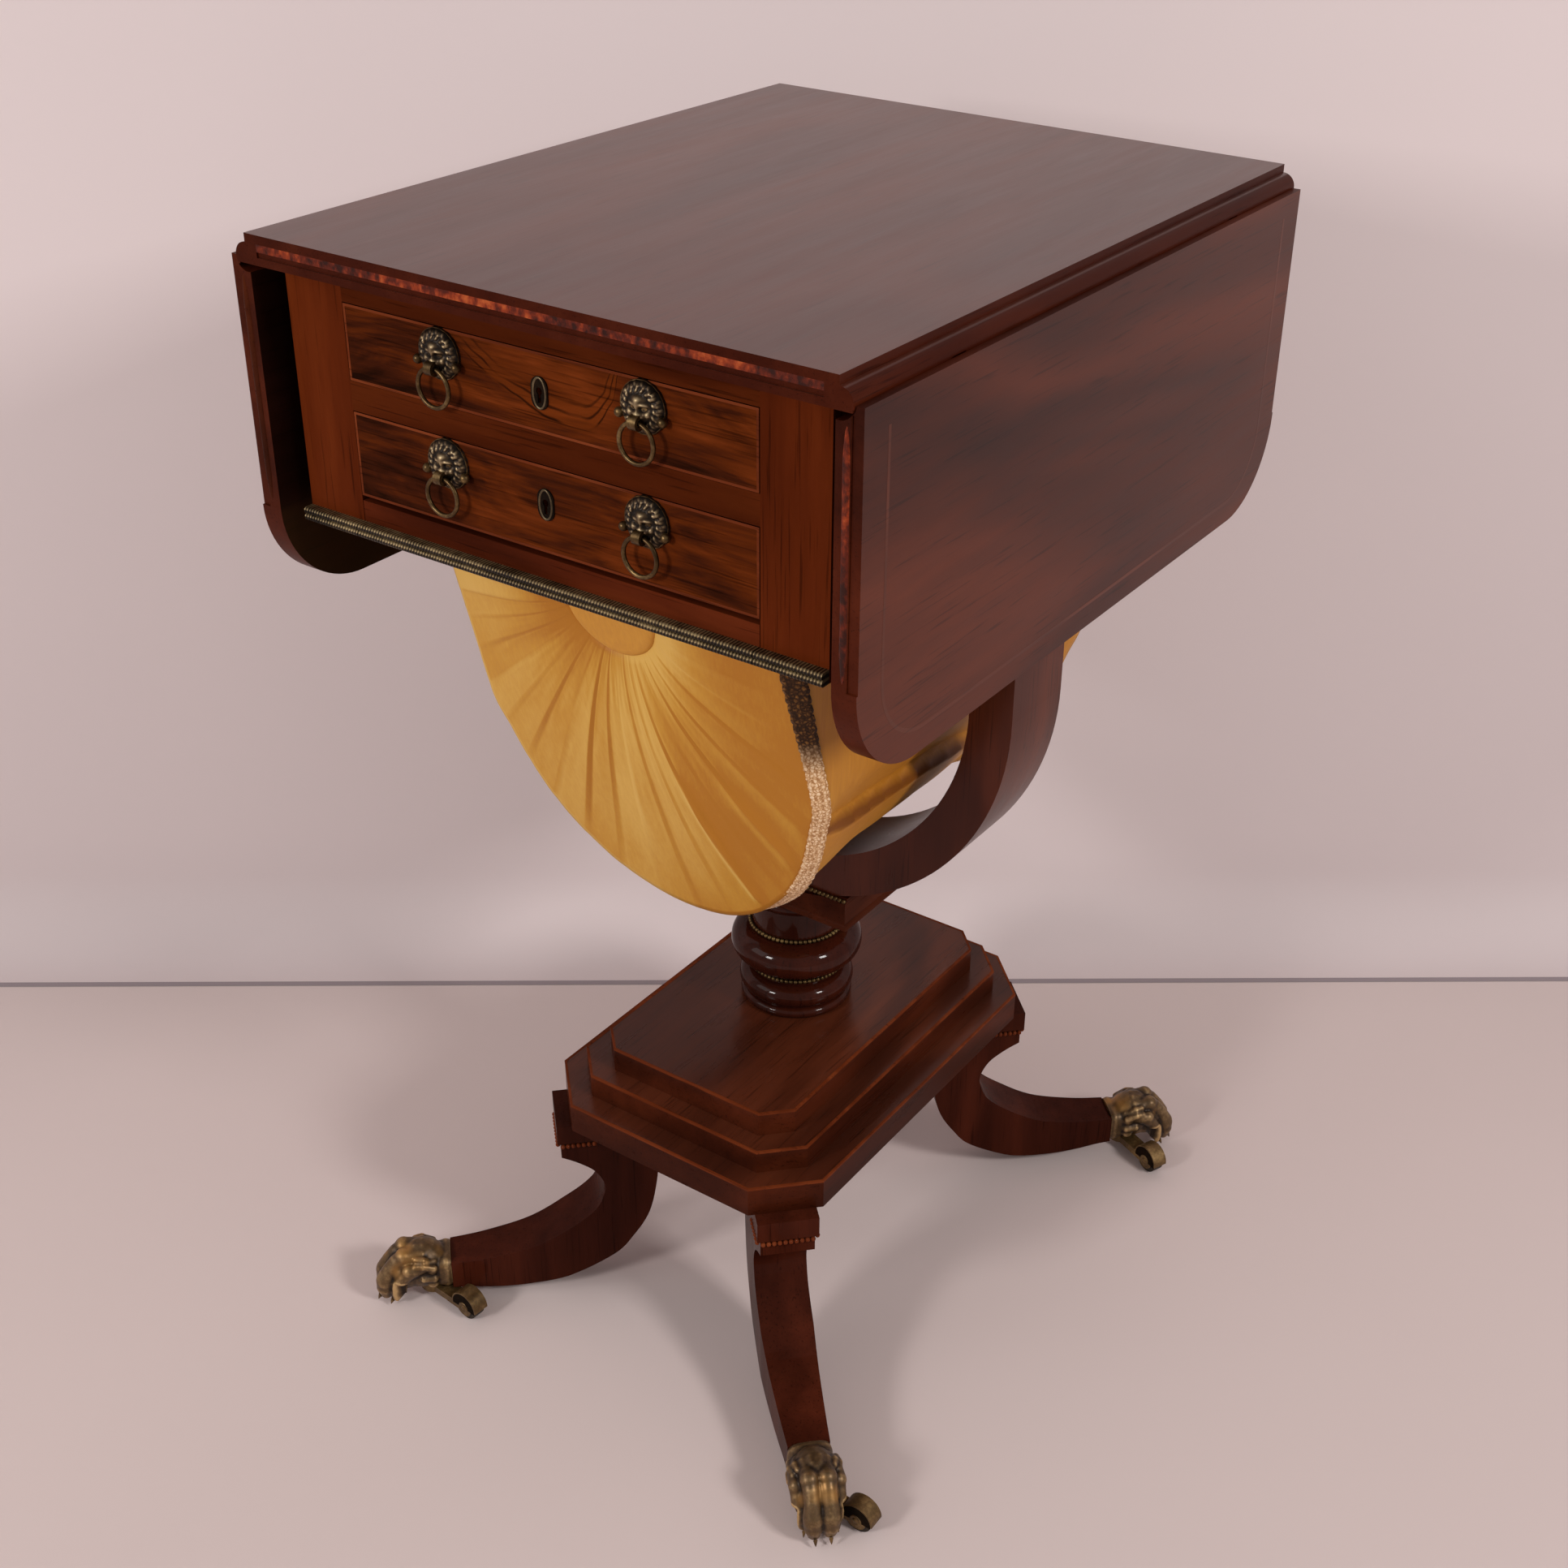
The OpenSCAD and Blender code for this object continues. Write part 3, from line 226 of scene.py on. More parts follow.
def band_wood():
    """Crossbanding: short bright and dark patches."""
    m = Mat("band_wood", Coat_Weight=0.1, Coat_Roughness=0.15, Specular_IOR_Level=0.15)
    blot = m.noise(m.obj((1, 1, 0.8)), 210.0, 4.0, 0.6)
    run = m.noise(m.obj((1, 1, 0.3)), 17.0, 2.0, 0.5)
    col = m.ramp(m.madd(blot, 0.9, m.mul(run, 0.6)), [
        (0.62, (46, 14, 6)), (0.76, (92, 29, 10)), (0.88, (140, 52, 19)), (1.0, (176, 84, 38))])
    return m.set(Base_Color=col, Roughness=m.madd(blot, 0.2, 0.25), Normal=m.bump(blot, 0.2, 0.0003))


SWIRL_X, SWIRL_Z, SWIRL_STEP = 0.027, 0.6745, 0.0062


def drawer_wood():
    """Rosewood of the drawer fronts: streaks along the front and a swirl beside the upper keyhole."""
    m = Mat("drawer_wood", Specular_IOR_Level=0.01)
    x, _, z = m.split(m.obj())
    tone = m.noise(m.obj((0.2, 1, 1), (0.6, 0, 0.21)), 40.0, 4.0, 0.6, 1.2)
    fine = m.noise(m.obj((0.05, 1, 1)), 330.0, 4.0, 0.6)
    left = m.ramp(m.madd(x, -12.0, -0.25), [(0.0, 0.0), (0.9, 1.0)])
    right = m.ramp(m.madd(x, 14.0, -0.9), [(0.0, 0.0), (0.9, 1.0)])
    side = m.madd(left, -0.15, m.madd(right, 0.02, 0.02))
    fac = m.add(m.madd(tone, 1.15, m.mul(fine, 0.42)), side)
    col = m.ramp(fac, [
        (0.48, (30, 11, 4)), (0.66, (60, 24, 9)), (0.82, (88, 37, 10)), (1.0, (112, 50, 17))])

    # The swirl: rings under an arch that falls steeply on its right and slowly on its left
    warp = m.add(m.noise(m.obj((0.6, 1, 1)), 40.0, 2.0, 0.5), -0.5)
    dx = m.add(m.madd(warp, 0.016, x), -SWIRL_X)
    dr = m.math("MAXIMUM", dx, 0.0)
    dl = m.math("MINIMUM", dx, 0.0)
    arch = m.madd(m.mul(dr, dr), -58.0, m.madd(m.mul(dl, dl), -4.2, z))
    arch = m.add(m.madd(warp, 0.011, arch), -SWIRL_Z)
    rings = m.ramp(m.math("SINE", m.mul(arch, CYCLE / SWIRL_STEP)), [(0.35, 0.0), (1.0, 1.0)])
    broken = m.ramp(m.noise(m.obj((0.6, 1, 1), (0.2, 0, 0.1)), 70.0, 2.0, 0.5), [(0.4, 0.25), (0.6, 1.0)])
    rows = m.ramp(m.mul(arch, 40.0), [(0.0, 0.0), (0.06, 1.0), (0.5, 0.9), (0.75, 0.0)])
    ends = m.ramp(m.math("ABSOLUTE", m.mul(m.add(x, -0.008), 10.0)), [(0.45, 1.0), (0.72, 0.0)])
    within = m.mul(rows, ends)
    col = m.mix(m.mul(within, 0.35), col, lin(112, 50, 12))
    col = m.mix(m.mul(within, m.mul(m.mul(rings, broken), 0.9)), col, lin(26, 9, 3))

    pores = m.noise(m.obj((0.03, 1, 1)), 700.0, 2.0, 0.5)
    col = m.tint(col, m.ramp(pores, [(0.30, 0.5), (0.42, 1.0)]))
    return m.set(Base_Color=col, Roughness=m.madd(fine, 0.15, 0.22), Normal=m.bump(pores, 0.1, 0.0002))


REED_STEP = 0.00375


def brass(name, low, mid, high, rough, metal, spec):
    """Old brass: dark patina, brighter where rubbing wears it; paws and masks also carry a painted highlight
    on their high points.
    """
    m = Mat(name + "_brass", Metallic=metal, Specular_IOR_Level=spec)
    v = m.obj()
    cloud = m.noise(v, 55.0, 5.0, 0.62)
    grit = m.noise(v, 420.0, 3.0, 0.6)
    fac = m.madd(grit, 0.35, m.mul(cloud, 0.75))
    normal = m.bump(grit, 0.25, 0.0002)
    if name in ("paw", "mask"):
        # Paws and masks: brighter on high points, by rubbing and a painted highlight; darker in the patinated
        # hollows
        fac = m.madd(m.math("SUBTRACT", fac, 0.55), 0.6, m.attribute("wear_and_painted_light"))
    if name == "moulding":
        beads = m.wave(v, 160.0, "X")
        normal = m.bump(beads, 0.7, 0.0005, normal)
        fac = m.add(fac, m.madd(beads, 0.3, -0.15))
        reeds = m.math("SINE", m.madd(m.split(v)[2], CYCLE / REED_STEP, 1.2))
        fac = m.madd(reeds, 0.22, m.add(fac, -0.05))
    col = m.ramp(fac, [(0.32, low), (0.55, mid), (0.8, high)])
    if name == "paw":
        spots = m.ramp(m.noise(v, 38.0, 2.0, 0.5), [(0.58, 0.0), (0.70, 0.75)])
        col = m.mix(spots, col, lin(168, 122, 62))
    return m.set(Base_Color=col, Roughness=m.madd(cloud, 0.25, rough - 0.1), Normal=normal)


# Low, mid and high sRGB colour; roughness, metallic and specular
BRASSES = {
    "old": ((74, 56, 30), (124, 98, 56), (186, 154, 96), 0.36, 0.9, 0.5),
    "bead": ((54, 40, 22), (96, 76, 46), (140, 116, 74), 0.45, 0.9, 0.5),
    "castor": ((60, 44, 26), (104, 80, 48), (160, 130, 84), 0.42, 0.7, 0.5),
    "wheel": ((22, 18, 13), (40, 32, 22), (80, 64, 42), 0.5, 0.5, 0.5),
    "paw": ((40, 28, 18), (104, 80, 52), (196, 162, 112), 0.42, 0.6, 0.5),
    "mask": ((26, 18, 11), (78, 60, 40), (172, 150, 114), 0.42, 0.75, 0.5),
    "moulding": ((22, 15, 9), (68, 54, 35), (156, 134, 96), 0.42, 0.7, 0.5),
    "lock": ((120, 96, 50), (160, 132, 74), (196, 168, 104), 0.3, 0.9, 0.5),
    "pull": ((42, 30, 17), (86, 66, 40), (156, 128, 84), 0.36, 0.9, 0.5),
    "rim": ((62, 52, 36), (98, 84, 62), (136, 120, 92), 0.4, 0.9, 0.5),
    "dim": ((12, 8, 5), (24, 16, 10), (44, 30, 19), 0.75, 0.0, 0.03),
}


def plain_steel():
    m = Mat("plain_steel", Metallic=1.0)
    lines = m.noise(m.obj((1, 1, 0.2)), 300.0, 4.0, 0.6)
    return m.set(Base_Color=m.ramp(lines, [(0.3, (120, 118, 114)), (0.7, (176, 174, 170))]),
                 Roughness=m.madd(lines, 0.2, 0.3), Normal=m.bump(lines, 0.1, 0.0001))


GUSSET_SILK = "gusset_silk"
FOLD_SLOPE, FOLD_HEIGHT = 0.1278, 0.4131


def silk(name, deep, mid, pale, tilt, shade):
    """Silk with slubs and a fine weave, darker towards the right and in its creases.

    Tilt says how much painted shade darkens a face turned to the right, shade how dark the painted
    shade in the creases is. The painted shade in the crease of the gusset is drawn sharply along the
    line of its long fold.
    """
    m = Mat(name, Sheen_Weight=0.1, Sheen_Roughness=0.3, Sheen_Tint=lin(255, 214, 130),
            Specular_IOR_Level=0.3)
    v = m.obj()
    x, y, z = m.split(v)
    soft = m.noise(v, 9.0, 2.0, 0.4)
    slub = m.noise(m.obj((1, 1, 0.06)), 520.0, 3.0, 0.6)
    # Painted light and shade: paler towards the left and on faces turned to the left, darker towards the right
    # and on faces turned to the right
    painted_side_shade = m.madd(x, -0.3, m.mul(m.normal()[0], -tilt))
    fac = m.add(m.madd(slub, 0.2, m.madd(soft, 0.45, 0.15)), painted_side_shade)
    fac = m.madd(m.attribute("facet"), 0.06, fac)
    col = m.ramp(fac, [(0.30, deep), (0.5, mid), (0.72, pale)])
    # Painted shade in the creases; on the gusset only along its long fold
    line = m.attribute("wear_and_painted_light")
    if name == GUSSET_SILK:
        off = m.add(m.madd(y, FOLD_SLOPE, z), -FOLD_HEIGHT)
        line = m.mul(line, m.ramp(m.math("ABSOLUTE", m.mul(off, 200.0)), [(0.2, 1.0), (0.9, 0.0)]))
    col = m.mix(m.mul(line, shade), col, lin(120, 66, 16))
    weave = m.add(m.wave(v, 900.0, "X"), m.wave(v, 900.0, "Z"))
    return m.set(Base_Color=col, Roughness=m.madd(slub, 0.2, 0.42),
                 Normal=m.bump(weave, 0.16, 0.00008, m.bump(slub, 0.12, 0.00025)))


def braid_weave():
    """Knotted braid: brown in painted shade below the frame, and pale lower down, where it is lit."""
    m = Mat("braid_weave", Roughness=0.85, Sheen_Weight=0.08, Specular_IOR_Level=0.2)
    along, across, _ = m.split(m.node("TexCoord", out="UV"))
    place = m.node("CombineXYZ", {0: along, 1: m.mul(across, 13.0)})
    knots = m.node("TexVoronoi", {"Vector": place, "Scale": 0.42, "Randomness": 0.75},
                   feature="DISTANCE_TO_EDGE")
    ribs = m.math("SINE", m.mul(across, 3 * CYCLE))
    thread = m.noise(m.obj(), 900.0, 3.0, 0.6)
    pattern = m.add(m.madd(knots, 1.5, m.mul(ribs, 0.08)), 0.18)
    fac = m.madd(m.math("SUBTRACT", thread, 0.5), 0.9, pattern)
    # Painted shade: brown from about 0.49 m up, in the shade below the frame, pale lower down
    high = m.ramp(m.madd(m.split(m.obj())[2], 45.0, -21.7), [(0.0, 0.0), (0.9, 1.0)])
    light = m.ramp(fac, [(0.16, (166, 118, 72)), (0.34, (212, 168, 120)), (0.6, (240, 210, 172))])
    brown = m.ramp(fac, [(0.2, (44, 24, 7)), (0.46, (76, 45, 17)), (0.85, (136, 92, 42))])
    return m.set(Base_Color=m.mix(high, light, brown), Normal=m.bump(fac, 0.3, 0.0005))


MAT = {"band": band_wood(), "drawer": drawer_wood(), "steel": plain_steel(), "braid": braid_weave()}
for key, (*look, more) in WOODS.items():
    MAT[key] = wood(key, *look, **more)
for key, look in BRASSES.items():
    MAT[key] = brass(key, *look)
MAT["silk"] = silk("gold_silk", (180, 116, 28), (198, 143, 49), (216, 172, 84), 1.2, 0.22)
MAT["silk_side"] = silk(GUSSET_SILK, (176, 112, 30), (204, 144, 52), (222, 170, 78), 0.1, 0.95)

# The first of these words that is in the name of a CAD node gives its material; the others are old brass
MADE_OF = {
    "_flaps": "old", "column_bead": "old", "leg_": "leg", "plinth": "plinth", "ring_": "pull",
    "masks": "pull", "escutcheon": "dim", "_lock": "lock", "bolt": "lock", "wheel": "wheel",
    "castor": "castor", "column": "turned", "moulding": "moulding", "stiles": "stile",
    "brackets": "stile", "carcase_sides": "stile", "carcase_back": "rail", "rails": "rail",
    "runners": "inner", "_box": "inner", "_base": "inner", "frame": "inner", "slide_front": "slide",
    "_front": "drawer", "left_leaf": "left_leaf", "right_leaf": "right_leaf", "top_board": "top",
    "edge_bands": "band", "u_support": "u", "u_block": "plinth_side", "pins": "steel",
}
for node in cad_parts:
    material = MAT[next((key for word, key in MADE_OF.items() if word in node), "old")]
    ob = bpy.data.objects[node]
    if not ob.material_slots:
        ob.data.materials.append(material)
    for slot in ob.material_slots:
        slot.material = material


# Making pieces

def new_object(name, verts, faces, material=None, flat=False):
    mesh = bpy.data.meshes.new(name)
    mesh.from_pydata(verts, [], faces)
    if not flat:
        mesh.shade_smooth()
    if material:
        mesh.materials.append(material)
    ob = bpy.data.objects.new(name, mesh)
    scene.collection.objects.link(ob)
    return ob


def piece(name, verts, faces, body, slot, mat, flat=False, uvs=None):
    """A visible piece from points in millimetres, riding on a body."""
    ob = new_object(name, [(v[0] * MM, v[1] * MM, v[2] * MM) for v in verts], faces, MAT[mat], flat)
    if uvs is not None:
        layer = ob.data.uv_layers.new(name="UVMap")
        index = np.zeros(len(ob.data.loops), dtype=np.int32)
        ob.data.loops.foreach_get("vertex_index", index)
        layer.data.foreach_set("uv", np.asarray(uvs, dtype=np.float32)[index].ravel())
    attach(ob, body)
    return ob


def mark(ob, attribute, values):
    """Keep a number at each point, for the materials to read."""
    data = ob.data.attributes.new(attribute, "FLOAT", "POINT").data
    data.foreach_set("value", np.asarray(values, dtype=np.float32))


def wear_and_painted_light(ob, values):
    """Brass: 0 in the hollows to 1 on high points, brightened by rubbing and by a painted highlight. Silk: how
    deep in a crease, for its painted shade.
    """
    mark(ob, "wear_and_painted_light", np.clip(values, 0.0, 1.0))


def grid_faces(nu, nv, close_u=False):
    """Faces of nu rows of nv points each."""
    out = []
    for i in range(nu if close_u else nu - 1):
        j = (i + 1) % nu
        for k in range(nv - 1):
            out.append((i * nv + k, j * nv + k, j * nv + k + 1, i * nv + k + 1))
    return out


def repeated(faces, step, count):
    """The same faces over several equal sets of points."""
    return [tuple(i + step * n for i in face) for n in range(count) for face in faces]


def solidify(ob, thickness):
    modifier = ob.modifiers.new("thick", "SOLIDIFY")
    modifier.thickness = thickness * MM
    modifier.offset = -1.0


def offset_poly(poly, o):
    """Convex counter-clockwise polygon moved outwards by o."""
    out = []
    n = len(poly)
    for i in range(n):
        a, b, c = (Vector(poly[(i + k) % n]) for k in (-1, 0, 1))
        d1, d2 = (b - a).normalized(), (c - b).normalized()
        n1, n2 = Vector((d1.y, -d1.x)), Vector((d2.y, -d2.x))
        w = (n1 + n2).normalized()
        out.append(b + w * (o / max(0.2, w.dot(n1))))
    return out


def strip(poly, section, place):
    """Closed mitred strip along a polygon; section is a closed line of (outwards, up)."""
    verts = [place(p.x, p.y, h) for o, h in section for p in offset_poly(poly, o)]
    n, k = len(poly), len(section)
    faces = []
    for a in range(k):
        b = (a + 1) % k
        for i in range(n):
            j = (i + 1) % n
            faces.append((a * n + i, a * n + j, b * n + j, b * n + i))
    return verts, faces


def ball(rings, seg):
    """A ball of radius 1 around zero: rings of points, then the two poles."""
    verts = [(math.sin(th) * math.cos(ph), math.sin(th) * math.sin(ph), math.cos(th))
             for th in (math.pi * i / rings for i in range(1, rings))
             for ph in (TURN * j / seg for j in range(seg))] + [(0, 0, 1), (0, 0, -1)]
    steps = [(j, (j + 1) % seg) for j in range(seg)]
    last, top = (rings - 2) * seg, (rings - 1) * seg
    faces = [(i * seg + j, (i + 1) * seg + j, (i + 1) * seg + k, i * seg + k)
             for i in range(rings - 2) for j, k in steps]
    faces += [(top, j, k) for j, k in steps] + [(top + 1, last + k, last + j) for j, k in steps]
    return verts, faces


def balls(centres, r, rings=6, seg=10):
    verts, faces = ball(rings, seg)
    return ([tuple(c[k] + r * v[k] for k in range(3)) for c in centres for v in verts],
            repeated(faces, len(verts), len(centres)))


# Silk bag: TOP is the frame's height, HALF_L half of the length there, SLOPE how the ends lean in,
# HALF one half of the outline as (x, z)
TOP, SLOPE, HALF_L = 585.0, 0.2685, 182.0
HALF = [(120.5, 585.0), (120.5, 540.0), (120.5, 495.0), (120.5, 456.0), (114.5, 435.0), (107.0, 412.0),
        (98.0, 392.0), (86.0, 374.0), (71.0, 359.0), (55.0, 347.0), (34.0, 337.5), (12.0, 332.3)]
SILK_T = 0.9  # thickness of the cloth and the braid
YOKE_T = 0.8


def catmull(pts, per):
    """Smooth curve through the points, with so many steps between two of them."""
    out = []
    n = len(pts)
    for i in range(n - 1):
        p = [pts[max(0, min(n - 1, i + k))] for k in (-1, 0, 1, 2)]
        for t in (j / per for j in range(per)):
            out.append(tuple(0.5 * (2 * p[1][c] + (p[2][c] - p[0][c]) * t
                                    + (2 * p[0][c] - 5 * p[1][c] + 4 * p[2][c] - p[3][c]) * t * t
                                    + (3 * p[1][c] - p[0][c] - 3 * p[2][c] + p[3][c]) * t ** 3)
                             for c in range(len(pts[0]))))
    out.append(pts[-1])
    return out


def resample(pts, n):
    """n points at equal steps along a line, and its length."""
    pts = np.array(pts, float)
    d = np.concatenate([[0], np.cumsum(np.linalg.norm(np.diff(pts, axis=0), axis=1))])
    s = np.linspace(0, d[-1], n)
    return np.stack([np.interp(s, d, pts[:, c]) for c in range(pts.shape[1])], 1), d[-1]


def outwards(pts):
    """Unit normals of a line in x and z, away from the bag."""
    tang = np.gradient(pts, axis=0)
    tang /= np.linalg.norm(tang, axis=1)[:, None]
    return np.stack([tang[:, 1], -tang[:, 0]], 1)


def y_front(z):
    """Where the sloping front of the bag is at a height."""
    return -(HALF_L - SLOPE * (TOP - z))


def on_right(x):
    """0 on the left and at the bottom, 1 on the right-hand side."""
    return smooth(24, 100, x)


def inset(x, z):
    """How far in front the braid reaches over the panel on the right-hand side."""
    return on_right(x) * (6.8 + 5.2 * smooth(470, 575, z))


def on_face(x, z, h, sign):
    """A point h in front of the sloping face; sign -1 is the front, +1 the back."""
    return x, (y_front(z) + NRM.y * h) * -sign, z + NRM.z * h if z < TOP - 1 else z


def bag_piece(name, verts, faces, mat, **more):
    return piece(name, verts, faces, "bag_slide_body", "silk", mat, **more)


NS = 241
outline, out_len = resample(catmull([(-x, z) for x, z in HALF] + [(x, z) for x, z in reversed(HALF)], 10), NS)
outn = outwards(outline)
panel_edge = [p - n * (0.9 + 0.86 * inset(*p)) for p, n in zip(outline, outn)]
NRM = Vector((0, -1, -SLOPE)).normalized()
YOKE = (-3.0, 556.0)  # x and z of its middle
YOKE_R = 32.0
PANEL_X = 119.8  # half of the width of a panel, inside the gusset
# Edges of the pleats in degrees from straight down, the left-hand side first
PLEATS = [-152, -138, -124, -110, -98, -87, -77, -67.5, -58.5, -50, -42, -34.5, -27, -19.5, -12, -4.5, 3,
          10.5, 17.5, 25, 33, 42, 53, 65, 78, 92, 108, 128, 152]
WEAK_FROM = 16  # degrees; the pleats to the right of this are faint
RIDGE = 17.6  # degrees; the long ridge on the front


def reach(poly, cx, cz, d):
    """How far it is from (cx, cz) in direction d to the edge of a polygon."""
    best = 1e9
    for (x1, z1), (x2, z2) in zip(poly, poly[1:] + poly[:1]):
        ex, ez = x2 - x1, z2 - z1
        den = d[0] * ez - d[1] * ex
        if abs(den) < 1e-9:
            continue
        t = ((x1 - cx) * ez - (z1 - cz) * ex) / den
        u = ((x1 - cx) * d[1] - (z1 - cz) * d[0]) / den
        if t > 1 and -1e-6 <= u <= 1 + 1e-6:
            best = min(best, t)
    return best


def front_ridges(th, r, u, end):
    """The three ridges on the right of the front, and the swell around the long one."""
    h = 3.0 * math.exp(-abs((th - RIDGE - 1.2 * (u - 0.5)) / 0.75) ** 1.5) * smooth(0.36, 0.6, u)
    h += 1.3 * math.exp(-((th - 32) / 1.8) ** 2) * smooth(0.45, 0.7, u)
    h += 0.8 * math.exp(-((th - 42) / 2.6) ** 2) * smooth(0.4, 0.7, u)
    h *= 1 - smooth(0.93, 1.0, u)
    off = math.hypot(r * math.sin(math.radians(th - RIDGE)), 2.0)
    return h + 9.0 * math.exp(-off / 50.0) * math.sin(math.pi * min(1, u ** 0.8)) * smooth(30, 90, end)


def panel(name, sign, seed):
    """Gathered silk that radiates from a yoke; sign -1 is the front, +1 the back."""
    edges = PLEATS if sign < 0 else [-e for e in reversed(PLEATS)]
    rnd = random.Random(seed)
    nr = 44
    poly = [(min(PANEL_X, max(-PANEL_X, x)), z) for x, z in (panel_edge if sign < 0 else outline)]
    poly.append((poly[0][0], TOP))
    grid, fold, facet = [], [], []
    for start, stop in zip(edges, edges[1:]):
        weak = -sign * start > WEAK_FROM
        amp = (0.4 if weak else 0.5) * rnd.uniform(0.3, 1.6)
        lift = rnd.uniform(-0.5, 0.5)
        tone = rnd.uniform(-1, 1) * (0.35 if weak else 1)
        w = stop - start
        sharp = min(0.12, 0.8 / w)
        for f in (0.0, sharp, 0.16, 0.27, 0.38, 0.5, 0.62, 0.73, 0.84, 1 - sharp):
            th = start + w * f
            d = (math.sin(math.radians(th)), -math.cos(math.radians(th)))
            shift = 15.0 * smooth(15, 95, -th) if sign < 0 else 0.0
            cx, cz, r0 = YOKE[0] - shift, YOKE[1], YOKE_R - 3 - shift * 0.9
            end = max(reach(poly, cx, cz, d), r0 + 0.5)
            saw = f if sign < 0 else 1 - f
            depth = 0.1 if weak else 0.12 + 0.4 * smooth(70, 100, abs(th))
            for j in range(nr):
                u = (j / (nr - 1)) ** 0.85
                r = r0 + (end - r0) * u
                env = smooth(0.0, 0.05, u) * (0.25 + 0.75 * (1 - smooth(0.78, 1.0, u)))
                env *= min(1.0, r * math.radians(w) / 15.0)
                h = amp * env * (saw - 0.35) + lift * math.sin(math.pi * u)
                h += 0.5 * env * noise.noise(Vector((th * 0.12, r * 0.014, seed)))
                h += 0.12 * noise.noise(Vector((th * 0.6, r * 0.05, seed + 3)))
                if sign < 0:
                    h += front_ridges(th, r, u, end)
                h += 3.4 * math.sin(math.pi * min(1, u ** 0.85)) * (1 if end > 60 else 0.2)
                grid.append(on_face(cx + d[0] * r, min(cz + d[1] * r, TOP), h, sign))
                facet.append(tone * smooth(30, 60, r))
                # Painted shade along the fold at each edge of a pleat
                to_edge = min(f, 1 - f) * w * math.radians(1) * r
                fold.append(math.exp(-(to_edge / 0.7) ** 2) * depth * smooth(30, 80, r)
                            * (1 - 0.5 * smooth(0.7, 1.0, u)))
    ob = bag_piece(name, grid, grid_faces(len(grid) // nr, nr), "silk")
    wear_and_painted_light(ob, fold)
    mark(ob, "facet", facet)
    return ob


front = panel("silk_bag_front", -1, 11)
back = panel("silk_bag_back", 1, 23)

# Yoke: a padded half disc over the root of the pleats
for end, sign in (("front", -1), ("back", 1)):
    verts = []
    na, nr = 72, 12
    for a in (TURN * i / na for i in range(na)):
        for u in (j / (nr - 1) for j in range(nr)):
            r = YOKE_R * u
            x, z = r * math.cos(a), r * math.sin(a)
            h = 3.4 - 1.0 * u ** 2 - 2.2 * smooth(0.9, 1.0, u)
            h += 0.2 * noise.noise(Vector((x * 0.1, z * 0.1, 2.0)))
            verts.append(on_face(YOKE[0] + x, min(YOKE[1] + z, TOP), h, sign))
    yoke = bag_piece(f"silk_yoke_{end}", verts, grid_faces(na, nr, True), "silk_side")
    solidify(yoke, YOKE_T)


def above_fold(y, z):
    """Height above the long fold of the right-hand side."""
    return z - (430 - 17 * (y + 143) / 133)


def crease(y, z):
    """How far the right-hand side is pushed out or in by its long fold."""
    if z > 520 or z < 335:
        return 0.0
    a = smooth(-165, -140, y) * (1 - smooth(20, 75, y))
    d = above_fold(y, z)
    if d > 0:
        return a * -8.0 * math.exp(-d / 17) * smooth(-0.2, 3.0, d)
    return a * 3.4 * math.exp(d / 15)


# Gusset: one strip from the front edge, under the bag and up the other side
NT = 61
verts, dark = [], []
for s, ((x, z), (nx, nz)) in enumerate(zip(outline, outn)):
    right = on_right(x)
    y_start, y_end = y_front(z) + 9.0 * right + 12.5 * (1 - right), -y_front(z)
    for u in (t / (NT - 1) for t in range(NT)):
        y = y_start + (y_end - y_start) * u
        bulge = math.sin(math.pi * u)
        sunk = smooth(0.0, 0.22, u) * (1 - smooth(0.86, 1.0, u))
        off = 5.0 * right * (1 - smooth(0.0, 0.2, u)) + sunk * (6.5 * nx * nx + 12.5 * nz * nz)
        off -= 1.5 * bulge * nx * nx * smooth(470, 560, z)
        wrinkle = 0.9 * noise.noise(Vector((s * 0.06, y * 0.016, 4.0)))
        wrinkle += 0.35 * noise.noise(Vector((s * 0.2, y * 0.05, 9.0)))
        wrinkle += crease(y, z) if x > 0 else 0
        wrinkle -= 0.6 * math.sin(y * 0.13 + z * 0.02) * smooth(480, 585, z) * bulge
        off -= wrinkle * smooth(0.0, 0.06, u) * (1 - smooth(0.95, 1.0, u))
        verts.append((x - nx * off, y, z - nz * off))
        # Painted shade along the long fold of the right-hand side
        near = (1 - smooth(5, 12, abs(above_fold(y, z)))) * smooth(-172, -150, y) * (1 - smooth(20, 75, y))
        dark.append(near if x > 60 else 0.0)
gusset = bag_piece("silk_bag_gusset", verts, grid_faces(NS, NT), "silk_side")
wear_and_painted_light(gusset, dark)

